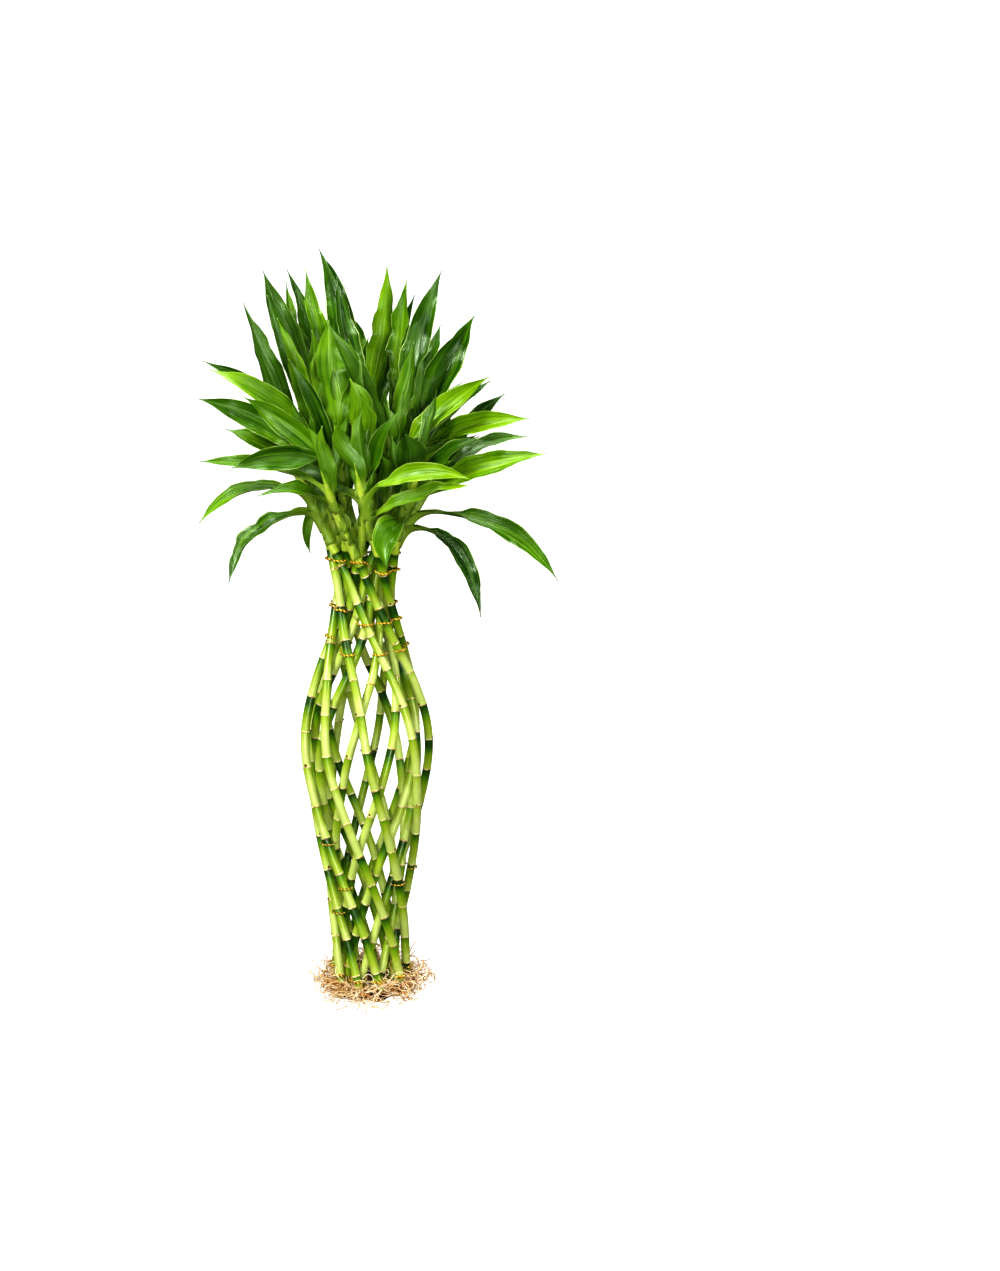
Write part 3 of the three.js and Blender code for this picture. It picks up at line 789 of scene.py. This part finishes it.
def blade_from(tip):
    """A neighbour may cut the lowest rings, so they are left out until the rest fit one curve."""
    rings = rings_from([tip], 4, most=1 + len(BLADE_STATIONS))[1:]
    edges = [edge_and_rib(ring)[0] for ring in rings]
    ribs = np.array([tuple((a.co + b.co) / 2) for a, b in edges])
    end = np.array(tip.co)
    for count in range(len(rings), 2, -1):
        t = np.array(BLADE_STATIONS[:count])
        shares = np.column_stack([(1 - t) ** 2, 2 * t * (1 - t)])
        wanted = ribs[:count] - np.outer(t * t, end)
        (foot, knee), misfit, _, _ = np.linalg.lstsq(shares, wanted, rcond=None)
        if np.sum(misfit) < (0.5 * MM) ** 2:
            return measured_blade(foot, knee, end, rings[2], BLADE_STATIONS[2])
    return None


def blades_of(node):
    shape = welded(node)
    found = []
    for vert in shape.verts:
        if len(vert.link_edges) != 4:
            continue
        blade = blade_from(vert)
        if blade:
            found.append(blade)
    shape.free()
    return found


blade_counts = {n: len(blades_of(n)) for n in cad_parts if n.startswith("leafy_shoot")}
print("blades found:", sum(blade_counts.values()), blade_counts)

# %% [markdown]
# The stem of a head runs on from its cane and through the feet of its leaves. It grows thinner
# upwards, with a faint ring where each fallen leaf once sat, and ends in a pointed spear: the
# next leaf, still rolled up.

# %% Shape the stem of a head
STEM_SIDES = 14
STEM_RADIUS = 5.5 * MM
STEM_TOP_RADIUS = 4.2 * MM
SPEAR = 34 * MM
STEM_OVERLAP = 5 * MM
STEM_STEP = 2.5 * MM
SCAR_STEP = 13 * MM


def stem_line(layer, number, blades):
    centres = cane_rings(f"cane_{layer}_{number}")
    top, before = np.array(centres[-1]), np.array(centres[-2])
    up = unit(top - before)
    feet = sorted((b["foot"] for b in blades), key=lambda foot: float(np.dot(foot - top, up)))
    points = [top - up * STEM_OVERLAP, top + up * 2 * MM]
    for foot in feet:
        if np.linalg.norm(foot - points[-1]) > 4 * MM:
            points.append(foot)
    points.append(points[-1] + SPEAR * unit(points[-1] - points[-2]))
    return Line(points, start_slope=up)


def stem_radius(line, places):
    trunk = line.length - SPEAR
    radii = mix(STEM_RADIUS, STEM_TOP_RADIUS, soft_step(np.asarray(places) / trunk))
    return radii * mix(1.0, 0.1, soft_step((np.asarray(places) - trunk + 8 * MM) / (SPEAR + 8 * MM)))


def add_stem(piece, line, rng):
    places = np.arange(0, line.length, STEM_STEP)
    scar = np.zeros_like(places)
    at = rng.uniform(8, 14) * MM
    while at < line.length:
        scar[np.argmin(np.abs(places - at))] = 1
        at += SCAR_STEP * rng.uniform(0.8, 1.3)
    radii = stem_radius(line, places) + 0.25 * MM * scar
    painted = {"tone": rng.random(), "ring": scar[:, None], "run": 8.0 * places[:, None]}
    add_tube(piece, line, places, radii, STEM_SIDES, **painted)


example_blades = blades_of("leafy_shoot_outer_3")
example_stem = stem_line("outer", 3, example_blades)
print("a shoot with", len(example_blades), "leaves on", round(example_stem.length, 3), "m of stem")

# %% [markdown]
# A leaf's path. The foot of the leaf is a sheath wrapped round the stem. Higher up it opens into
# a gutter, leans away and widens into the blade. So the path of its rib starts on the stem's
# side, a little below the foot, and runs into the curve found above.

# %% Lay out a leaf's path
SHEATH = 26 * MM
SHEATH_POINTS = 11
CURVE_POINTS = 70
LAYER_THICK = 0.5 * MM


def bezier(blade, t):
    t = t[:, None]
    return (1 - t) ** 2 * blade["foot"] + 2 * t * (1 - t) * blade["knee"] + t * t * blade["tip"]


def sheath_and_curve(blade, stem, inner_starts):
    """At each point: where it is, the face's up, the share of the blade and the sheath's radius."""
    foot_at = stem.nearest(blade["foot"])
    bottom = max(foot_at - SHEATH, STEM_OVERLAP + 2 * MM)
    places = np.linspace(bottom, foot_at, SHEATH_POINTS + 1)[:-1]
    chord = unit(blade["knee"] - blade["foot"])
    along = stem.along(places)
    out = unit(chord - np.sum(along * chord, axis=1)[:, None] * along)
    hug = stem_radius(stem, places) + 0.35 * MM
    for start in inner_starts:
        hug = hug + LAYER_THICK * soft_step((places - start) / (6 * MM))
    sheath = stem.at(places) + out * hug[:, None]
    shares = np.linspace(0, 1, CURVE_POINTS) ** 1.15
    sway = blade["sway"] * np.sin(2 * math.pi * shares)
    curve = bezier(blade, shares) + sway[:, None] * blade["across"]
    leave = 1 - soft_step(shares / 0.1)
    curve = curve + (leave * hug[-1])[:, None] * out[-1]
    slope = unit(np.gradient(curve, axis=0))
    lift = unit(np.cross(slope, blade["across"]))
    side = np.cross(lift, slope)
    roll = blade["roll"] * np.minimum(1, 2.5 * shares)
    face = lift * np.cos(roll)[:, None] - side * np.sin(roll)[:, None]
    points = np.concatenate([sheath, curve])
    ups = np.concatenate([-out, face])
    shares = np.concatenate([np.zeros(SHEATH_POINTS), shares])
    radii = np.concatenate([hug, np.full(CURVE_POINTS, hug[-1])])
    return points, ups, shares, radii


example_leaf = dict(example_blades[0], sway=0.0)
example_path = sheath_and_curve(example_leaf, example_stem, [])
print("the path of one of its leaves has", len(example_path[0]), "points")

# %% [markdown]
# Even rows. The points of the path stand close together at the foot and further apart in the
# blade, and there is a corner where the sheath ends. A real leaf bends there over a centimetre or
# two. So the path is laid out again in even steps, and the corner is eased by averaging.

# %% Space the rows evenly
LEAF_STEP = 4.0 * MM
EASE_ROUNDS = 14
BEND_REACH = 14 * MM


def eased(values, near, rounds):
    """Averages neighbours again and again where near is above 0."""
    values = values.copy()
    for _ in range(rounds):
        middle_values = (values[:-2] + 2 * values[1:-1] + values[2:]) / 4
        values[1:-1] += near[1:-1, None] * (middle_values - values[1:-1])
    return values


def leaf_path(blade, stem, inner_starts):
    """Even rows: where each is, how far past the foot, its share, the face's up and the radius."""
    points, ups, shares, radii = sheath_and_curve(blade, stem, inner_starts)
    _, run = gaps_and_run(points)
    run -= run[SHEATH_POINTS]
    count = int((run[-1] - run[0]) / LEAF_STEP)
    even = np.linspace(run[0], run[-1], count)
    near = np.exp(-((even - 2 * MM) / BEND_REACH) ** 2)
    points = eased(read_at(even, run, points), near, EASE_ROUNDS)
    ups = unit(eased(unit(read_at(even, run, ups)), near, EASE_ROUNDS))
    return points, even, np.interp(even, run, shares), ups, np.interp(even, run, radii)


print("and", len(leaf_path(example_leaf, example_stem, [])[0]), "even rows")

# %% [markdown]
# The blade's section. Across the leaf the points lie on an arc: tight round the stem at the
# sheath, open in the gutter, nearly flat in the blade, with a soft crease at the rib. The margins
# wave a little on their own.

# %% Bend the blade's section
HALF_ACROSS = (0.1, 0.28, 0.46, 0.64, 0.82, 0.96, 1.0)
ACROSS = np.array([*(-a for a in reversed(HALF_ACROSS)), 0.0, *HALF_ACROSS])
FOLD = 0.3
BLADE_THICK = 0.5 * MM
EDGE_THICK = 0.16 * MM
RIB_THICK = 1.2 * MM
STALK_HALF = 4.4 * MM
GUTTER = 30 * MM
DRAWN_OUT = 0.1


def blade_width(t):
    """Half width as a share: narrow foot, full past the middle, then a drawn-out tip."""
    full = t ** 1.25 * (1 - t) ** 1.1 / 0.2025
    return full * (1 - 0.5 * np.exp(-(((1 - t) / DRAWN_OUT) ** 2)))


def leaf_section(blade, even, share, radii, rng):
    """For each row: places across, heights above the rib, and thickness there."""
    opened = soft_step(even / GUTTER)
    wrap = mix(math.radians(155), math.radians(105), soft_step((even + SHEATH) / SHEATH))
    stalk = mix(radii * wrap, STALK_HALF, opened) * (1 - soft_step(share / 0.55))
    half = (stalk ** 3 + (blade["half"] * blade_width(share)) ** 3) ** (1 / 3)
    half = np.maximum(half, 0.55 * MM)
    bend = mix(1 / radii, 0.8 / np.maximum(half, 4 * MM), opened)
    x = half[:, None] * ACROSS[None]
    sideways = np.sin(bend[:, None] * x) / bend[:, None]
    height = (1 - np.cos(bend[:, None] * x)) / bend[:, None]
    crease = 0.8 * MM
    fold = FOLD * opened * rng.uniform(0.5, 1.2)
    height = height + fold[:, None] * (np.sqrt(x * x + crease ** 2) - crease)
    sunk = FOLD * half * np.minimum(1, 4 * share)
    waves = margin_waves(even, share, blade["half"], rng)
    height = height - sunk[:, None] + waves
    rib = np.exp(-((x / (1.5 * MM)) ** 2)) * (RIB_THICK - BLADE_THICK) * (1 - 0.6 * share)[:, None]
    edge = np.abs(ACROSS)[None] ** 8
    thick = mix(BLADE_THICK, EDGE_THICK, edge) + rib * np.clip(half / (6 * MM), 0.2, 1)[:, None]
    return sideways, height, thick


def margin_waves(even, share, half, rng):
    size = half / (17 * MM) * 3.4 * MM * rng.uniform(0.5, 1.5)
    strength = blade_width(np.clip(share, 0, 1)) ** 0.7 * size
    waves = 0
    for sign in (-1, 1):
        turn = 2 * math.pi * even / (rng.uniform(34, 62) * MM)
        swing = np.sin(turn + rng.uniform(0, 6.28)) + 0.3 * np.sin(turn / 0.38)
        outer = np.clip(sign * ACROSS, 0, 1) ** 1.5
        waves = waves + (strength * swing)[:, None] * outer[None]
    return waves


widest = max(range(100), key=lambda percent: blade_width(percent / 100))
print("a blade is widest at", widest, "percent of its length, and has", len(ACROSS), "points across")

# %% [markdown]
# Shaping a leaf. The bent sections are set along the path, and the blade is tilted a little to
# one side and back on its way to the tip. A single sheet would show the same look on both sides
# and has no edge, so the leaf is a thin closed solid, thicker along its rib.

# %% Shape one leaf
def add_leaf(piece, blade, stem, inner_starts, rng):
    points, even, share, ups, radii = leaf_path(blade, stem, inner_starts)
    slope = unit(np.gradient(points, axis=0))
    side = unit(np.cross(ups, slope))
    ups = np.cross(slope, side)
    sideways, height, thick = leaf_section(blade, even, share, radii, rng)
    swing = np.sin(even * rng.uniform(25, 45) + rng.uniform(0, 6))
    tilt = math.radians(rng.uniform(12, 26)) * swing * soft_step(share * 4)
    rolled_side = side * np.cos(tilt)[:, None] + ups * np.sin(tilt)[:, None]
    rolled_up = ups * np.cos(tilt)[:, None] - side * np.sin(tilt)[:, None]
    rows = points[:, None] + sideways[..., None] * rolled_side[:, None]
    rows = rows + height[..., None] * rolled_up[:, None]
    normal = unit(np.cross(np.gradient(rows, axis=0), np.gradient(rows, axis=1)))
    normal = normal_facing(normal, rolled_up, even)
    upper = rows + normal * (0.35 * thick)[..., None]
    lower = rows - normal * (0.65 * thick)[..., None]
    closed = np.concatenate([upper, lower[:, ::-1]], axis=1)
    across = np.concatenate([ACROSS, ACROSS[::-1]])[None]
    under = np.concatenate([np.zeros(len(ACROSS)), np.ones(len(ACROSS))])[None]
    along = np.where(even < 0, even / SHEATH * 0.1, share)[:, None]
    piece.add_grid(closed, finish=1, across=across, under=under, along=along, tone=blade["tone"])


def normal_facing(normal, ups, even):
    """One sign for the whole sheet, read where the blade is flattest."""
    row = int(0.6 * len(even))
    centre = normal.shape[1] // 2
    return normal * (1 if np.dot(normal[row, centre], ups[row]) > 0 else -1)


trial = Gathered("across", "along", "tone", "under")
add_leaf(trial, dict(example_leaf, tone=0.4), example_stem, [], random.Random("trial leaf"))
print("one leaf has", len(trial.faces), "faces")

# %% [markdown]
# Bright and dark leaves. Some leaves are brighter yellow-green and some darker, and the eye reads the head
# by these patches. Their tones also carry painted light and shade: the bright leaves are partly painted
# highlight and sheen, the dark ones partly painted shade. So the brightest and the darkest leaves of the
# picture are named here by where their tips stand, in millimetres. The others lie between.

# %% Name the bright and the dark leaves
BRIGHT_AND_LIT_TIPS = [
    (129, -112, 653), (127, -103, 645), (149, -60, 762), (-6, -88, 763), (7, -96, 743), (31, 20, 883),
    (-171, -25, 767), (195, -30, 711),
]
DARK_AND_SHADED_TIPS = [
    (-29, -92, 824), (55, -85, 701), (132, 0, 826), (150, -2, 752), (167, 30, 733), (134, -6, 689),
    (-135, 10, 840), (-109, -5, 877), (-75, -76, 783), (61, 60, 846), (90, 90, 809), (138, -70, 696),
    (139, -40, 479), (-104, -20, 851), (-47, 15, 902), (-24, -14, 871), (95, -10, 878), (-90, 70, 875),
    (-192, 60, 769), (-154, -50, 522),
]
TIP_REACH = 6 * MM


def leaf_tone(tip, rng):
    def named(places):
        return np.linalg.norm(np.array(places) * MM - tip, axis=1).min() < TIP_REACH

    # Named bright leaves: their own lighter green with painted highlight and sheen. Named dark leaves:
    # their own darker green with painted shade.
    if named(BRIGHT_AND_LIT_TIPS):
        return rng.uniform(0.56, 0.68)
    if named(DARK_AND_SHADED_TIPS):
        return rng.uniform(0.1, 0.22)
    return min(max(rng.gauss(0.42, 0.08), 0.26), 0.54)


print(len(BRIGHT_AND_LIT_TIPS), "bright leaves and", len(DARK_AND_SHADED_TIPS), "dark ones are named")

# %% [markdown]
# Small leaves low on the stem. Under the big blades every stem carries a few small leaves that
# stand close to it and fill the middle of the head, so that little light shows between the stems.

# %% Add the small leaves
SMALL_LEAVES = 5
UPRIGHT = np.array([0.0, 0.0, 0.8])


def small_blades(stem, rng):
    """They lean in over the middle of the plant. The last stands upright in the heart of its head."""
    found = []
    trunk = stem.length - SPEAR
    for k in range(SMALL_LEAVES):
        heart = k == SMALL_LEAVES - 1
        place = trunk * (0.97 if heart else 0.25 + 0.62 * (k + rng.random()) / (SMALL_LEAVES - 1))
        foot = stem.at(place)
        along = unit(stem.along(place) + UPRIGHT)
        turn = math.atan2(-foot[1], -foot[0]) + rng.uniform(-1.3, 1.3)
        out = np.array([math.cos(turn), math.sin(turn), 0.0])
        out = unit(out - np.dot(out, along) * along)
        lean = math.radians(rng.uniform(3, 9) if heart else rng.uniform(8, 18))
        length = rng.uniform(85, 125) * MM
        tip = foot + length * (math.cos(lean) * along + math.sin(lean) * out)
        knee = foot + length * (0.5 * along + 0.05 * out)
        across = unit(np.array([foot[1] - tip[1], tip[0] - foot[0], 0.0]))
        half = rng.uniform(9, 13) * MM
        found.append({"foot": foot, "knee": knee, "tip": tip, "half": half, "roll": 0.0, "across": across})
    return found


trial_tips = [blade["tip"].round(3) for blade in small_blades(example_stem, random.Random("trial"))]
print("small leaves could end at", *trial_tips)

# %% [markdown]
# A whole head: one stem and its leaves. The leaves are taken from the lowest to the topmost,
# because each sheath wraps round those above it and is pushed out a little by them. Each blade
# also sways a little to one side and back, as no real leaf is straight.

# %% Shape the heads
def shape_head(layer, number):
    node = f"leafy_shoot_{layer}_{number}"
    rng = random.Random(f"head {layer} {number}")
    blades = blades_of(node)
    stem = stem_line(layer, number, blades)
    blades += small_blades(stem, rng)
    blades.sort(key=lambda blade: stem.nearest(blade["foot"]))
    starts = [stem.nearest(blade["foot"]) - SHEATH for blade in blades]
    piece = Gathered("across", "along", "tone", "under", "ring", "round", "run")
    add_stem(piece, stem, rng)
    for k, blade in enumerate(blades):
        blade["tone"] = leaf_tone(blade["tip"], rng)
        blade["sway"] = rng.uniform(3, 7) * rng.choice([-1, 1]) * MM
        add_leaf(piece, blade, stem, starts[k + 1:], rng)
    return make_piece(f"leafy_head_{layer}_{number}", piece, [STEM_SKIN, LEAF_SKIN], node)


tell("heads", [shape_head(*cane) for cane in CANES])

# %% [markdown]
# Wire finishes. The ties are two strands twisted together, one of gold tinsel and one of thin
# black wire. Tinsel could be hundreds of tiny foils, but at this size it is seen as gold that
# sparkles, so a fine noise changes its colour, its gloss and its surface.

# %% Mix the wire finishes
def gold_tinsel():
    recipe = Recipe("gold_tinsel")
    sparkle = recipe.noise(recipe.place(), 600.0, 2.0)
    colour = recipe.blend(recipe.spread(sparkle, 0.38, 0.58), srgb(208, 128, 0), srgb(255, 230, 86))
    recipe.shade({
        "Base Color": colour,
        "Metallic": 0.15,
        "Roughness": recipe.spread(sparkle, 0.3, 0.7, 0.18, 0.4),
    })
    recipe.bump(sparkle, 0.8, 0.4 * MM)
    return recipe.done()


def black_wire():
    recipe = Recipe("black_wire")
    grain = recipe.noise(recipe.place(), 600.0)
    colour = recipe.blend(grain, srgb(14, 18, 12), srgb(48, 44, 30))
    recipe.shade({"Base Color": colour, "Roughness": recipe.spread(grain, 0.3, 0.7, 0.3, 0.5)})
    return recipe.done()


WIRE_FINISHES = [gold_tinsel(), black_wire()]

# %% [markdown]
# A wire's route. In the model a wire is a thin closed tube of rings of four points. Points that
# lie close together are one ring, and the middle of the ring is a point of the route. The order
# of the rings is their turn round the middle of the wire.

# %% Follow a wire's route
WIRE_GROUP = 2 * MM


def wire_route(node):
    """The middles of the wire's rings of four, in order round the wire."""
    shape = welded(node)
    left = [v.co.copy() for v in shape.verts]
    shape.free()
    middles = []
    while left:
        first = left[0]
        group = [co for co in left if (co - first).length < WIRE_GROUP]
        left = [co for co in left if (co - first).length >= WIRE_GROUP]
        middles.append(sum(group, Vector()) / len(group))
    centre = sum(middles, Vector()) / len(middles)
    return sorted(middles, key=lambda m: math.atan2(m.y - centre.y, m.x - centre.x))


def closed_line(points):
    """A smooth line that goes once round and over its own start, and where that turn lies on it."""
    line = Line([*points[-2:], *points, *points[:3]])
    away = np.linalg.norm(line.points - np.array(points[0]), axis=1)
    half = len(line.run) // 2
    return line, line.run[np.argmin(away[:half])], line.run[half + np.argmin(away[half:])]


turn_start, turn_end = closed_line(wire_route("wire_row_1"))[1:]
print("wire_row_1 is", round(float(turn_end - turn_start), 3), "m long")

# %% [markdown]
# Twisting the wires. Each strand is a helix round the route, so the twist shows from every side.
# The tinsel is full where the wire hugs a cane and is worn thin between the canes, where the black
# strand shows.

# %% Twist the wires
TWIST_PITCH = 4.6 * MM
TWIST_STEPS = 9
STRAND_SIDES = 6
# Finish, radius on a cane, radius between canes, and how far from the middle the strand runs.
STRANDS = ((0, 1.1 * MM, 0.12 * MM, 0.4 * MM), (1, 0.4 * MM, 0.22 * MM, 1.05 * MM))
ON_CANE, OFF_CANE = 8.5 * MM, 10.0 * MM
OUTER_LINES = [Line(cane_rings(f"cane_outer_{n}"), step=3 * MM) for layer, n in CANES if layer == "outer"]


def hugging(middles):
    """1 where the wire lies on an outer cane, and 0 where it is clear of all of them."""
    gaps = [np.linalg.norm(middles[:, None] - line.points, axis=2).min(axis=1) for line in OUTER_LINES]
    return soft_step((OFF_CANE - np.min(gaps, axis=0)) / (OFF_CANE - ON_CANE))


def twist_wire(node, name):
    line, first, last = closed_line(wire_route(node))
    length = last - first
    turns = max(round(length / TWIST_PITCH), 3)
    count = turns * TWIST_STEPS
    places = first + length * np.arange(count) / count
    middles = line.at(places)
    along = line.along(places)
    upright = np.tile([0.0, 0.0, 1.0], (count, 1))
    out, side = ring_axes(along, upright)
    near = hugging(middles)
    fuller = 1.0 if "row" in node else 0.65
    crinkle = np.random.default_rng(len(middles)).uniform(0.6, 1.3, (count, STRAND_SIDES)) * fuller
    piece = Gathered()
    for finish, thick, thin, offset in STRANDS:
        turn = 2 * math.pi * turns * np.arange(count) / count + math.pi * finish
        away = offset * mix(0.3, 1.0, near)[:, None]
        centres = middles + away * (np.cos(turn)[:, None] * out + np.sin(turn)[:, None] * side)
        slopes = unit(np.roll(centres, -1, axis=0) - np.roll(centres, 1, axis=0))
        radii = mix(thin, thick, near)[:, None] * (crinkle if finish == 0 else 1.0)
        rings = round_rings(centres, slopes, upright, radii, STRAND_SIDES)
        piece.add_grid(rings, finish, joined=True)
    return make_piece(name, piece, WIRE_FINISHES, node)


wire_nodes = sorted(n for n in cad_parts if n.startswith("wire_"))
tell("wires", [twist_wire(n, "twisted_" + n) for n in wire_nodes])

# %% [markdown]
# Root skin. Each root has a tone of its own, from bleached cream over tan to dark brown, and is blotched
# along its length. Its darkest tone, near black, is painted shade for the heap under the roots. It is dry,
# so it hardly shines.

# %% Mix the root skin
def root_skin():
    recipe = Recipe("root_skin")
    cloud = recipe.noise(recipe.place(), 130.0, 3.0)
    share = recipe.math("ADD", recipe.painted("tone"), recipe.swing(cloud, 0.7), clamp=True)
    colour = recipe.ramp(share, [
        (0.0, srgb(255, 244, 218)),
        (0.3, srgb(236, 202, 148)),
        (0.6, srgb(204, 156, 92)),
        (0.82, srgb(160, 104, 50)),
        # The darkest stop is painted shade. The heap under the roots wears it.
        (1.0, srgb(40, 20, 8)),
    ])
    recipe.shade({"Base Color": colour, "Roughness": recipe.spread(cloud, 0.3, 0.7, 0.6, 0.85)})
    recipe.bump(recipe.noise(recipe.place(), 700.0), 0.4, 0.3 * MM)
    return recipe.done()


ROOT_SKIN = root_skin()

# %% [markdown]
# One root. It leaves the foot of its cane, falls to the floor and curls on. It could be a spline
# drawn by hand, but there are hundreds, so each is walked step by step by a seeded rule: it turns
# a little at every step and gravity bends it down.

# %% Walk one root
ROOT_REACH = 90 * MM
ROOT_STEP = 3.0 * MM
ROOT_SIDES = 4
DEEPER = 1.28


def walk_root(start, heading, pitch, steps, reach, rng):
    """A curly path. Past its reach it is turned back, and the floor stops its fall."""
    here = np.array(start)
    points = [here]
    curl, dip = rng.gauss(0, 0.25), 0.0
    for _ in range(steps):
        curl = 0.8 * curl + rng.gauss(0, 0.2)
        dip = 0.7 * dip + rng.gauss(-0.03, 0.14)
        heading += curl
        pitch = min(max(pitch + dip, -0.9), 0.8)
        flat = math.cos(pitch)
        step = np.array([flat * math.cos(heading), flat * math.sin(heading), math.sin(pitch)]) * ROOT_STEP
        here = here + step * rng.uniform(0.85, 1.15)
        if here[2] < 1.0 * MM:
            here[2] = rng.uniform(0.8, 1.6) * MM
            pitch = rng.uniform(0.0, 0.6)
            dip = 0.0
        far = math.hypot(here[0], here[1] / DEEPER)
        if far > reach:
            here[:2] *= reach / far
            heading += rng.choice([-0.8, 0.8])
        points.append(here)
    return points


def add_root(piece, points, thick, tone):
    centres = np.array(points)
    slopes = unit(np.gradient(centres, axis=0))
    shares = np.linspace(0, 1, len(points))
    radii = thick * mix(1.0, 0.4, shares)
    centres[:, 2] = np.maximum(centres[:, 2], radii)
    towards = np.tile([0.05, 0.02, 1.0], (len(points), 1))
    piece.add_grid(round_rings(centres, slopes, towards, radii, ROOT_SIDES), tone=tone)


trial_root = walk_root((0.0, 0.0, 0.015), 0.0, 0.3, 20, ROOT_REACH, random.Random("trial root"))
print("a root of twenty steps could end at", trial_root[-1].round(3))

# %% [markdown]
# The heap. Under the living roots lies a low dark heap, painted shade for the deep shadow in the gaps
# between the strands near the feet. Seen through the strands it is only a dark ground, so it is one lumpy
# dome and not more strands.

# %% Heap up painted shade under the roots
def add_shade_heap(piece, radius=54 * MM, height=9 * MM, rings=10, sides=40):
    """The low dark heap in the middle, painted shade: a dome with a lumpy surface, flat underneath."""
    rng = random.Random("heap")
    rows = []
    for k in range(rings):
        share = k / (rings - 1)
        row = []
        for j in range(sides):
            turn = 2 * math.pi * j / sides
            reach = radius * (1 - share) * (1 + 0.12 * rng.uniform(-1, 1)) + 0.4 * MM
            z = height * math.sin(math.pi / 2 * share) ** 0.6 * (1 + 0.3 * rng.uniform(-1, 1))
            row.append((reach * math.cos(turn), reach * math.sin(turn), max(z, 0.0) if k else 0.0))
        rows.append(row)
    # The heap takes the darkest tone of the root skin: painted shade.
    piece.add_grid(np.array(rows), tone=1.0)


tangle = Gathered("tone")
add_shade_heap(tangle)
print("the heap has", len(tangle.faces), "faces")

# %% [markdown]
# Growing the roots. Most leave the feet of the canes, outwards, and curl about each other. Some
# lie loose between them, so that the feet stand in one mat. Most are tan, some bleached and some
# dark.

# %% Grow the roots
ROOTS_PER_FOOT = 30
LOOSE_ROOTS = 120
TOP_OF_ROOTS = 15 * MM
ROOT_TONES = [0.0, 0.08, 0.16, 0.24, 0.3, 0.36, 0.44, 0.55, 0.7]


def grow_roots(piece):
    rng = random.Random("roots")
    for layer, number in CANES:
        foot = np.array(cane_rings(f"cane_{layer}_{number}")[0])
        outward = math.atan2(foot[1], foot[0])
        for _ in range(ROOTS_PER_FOOT):
            turn = outward + rng.gauss(0, 1.2)
            start = foot + 4.4 * MM * np.array([math.cos(turn), math.sin(turn), 0.0])
            start[2] = rng.uniform(0.2, 1.0) * TOP_OF_ROOTS
            reach = ROOT_REACH * rng.triangular(0.6, 1.12, 0.82)
            points = walk_root(start, turn, rng.uniform(-0.4, 0.6), rng.randint(10, 24), reach, rng)
            add_root(piece, points, rng.uniform(0.6, 1.1) * MM, rng.choice(ROOT_TONES))
    for _ in range(LOOSE_ROOTS):
        turn = rng.uniform(0, 2 * math.pi)
        far = ROOT_REACH * math.sqrt(rng.uniform(0.1, 0.75))
        start = (far * math.cos(turn), DEEPER * far * math.sin(turn), rng.uniform(2, 12) * MM)
        reach = ROOT_REACH * rng.triangular(0.7, 1.0, 0.9)
        points = walk_root(start, turn + rng.gauss(0, 1.4), 0.0, rng.randint(8, 16), reach, rng)
        add_root(piece, points, rng.uniform(0.35, 0.7) * MM, rng.choice(ROOT_TONES))
    return make_piece("root_tangle", piece, [ROOT_SKIN], "root_mat")


tell("root tangle", [grow_roots(tangle)])

# %% [markdown]
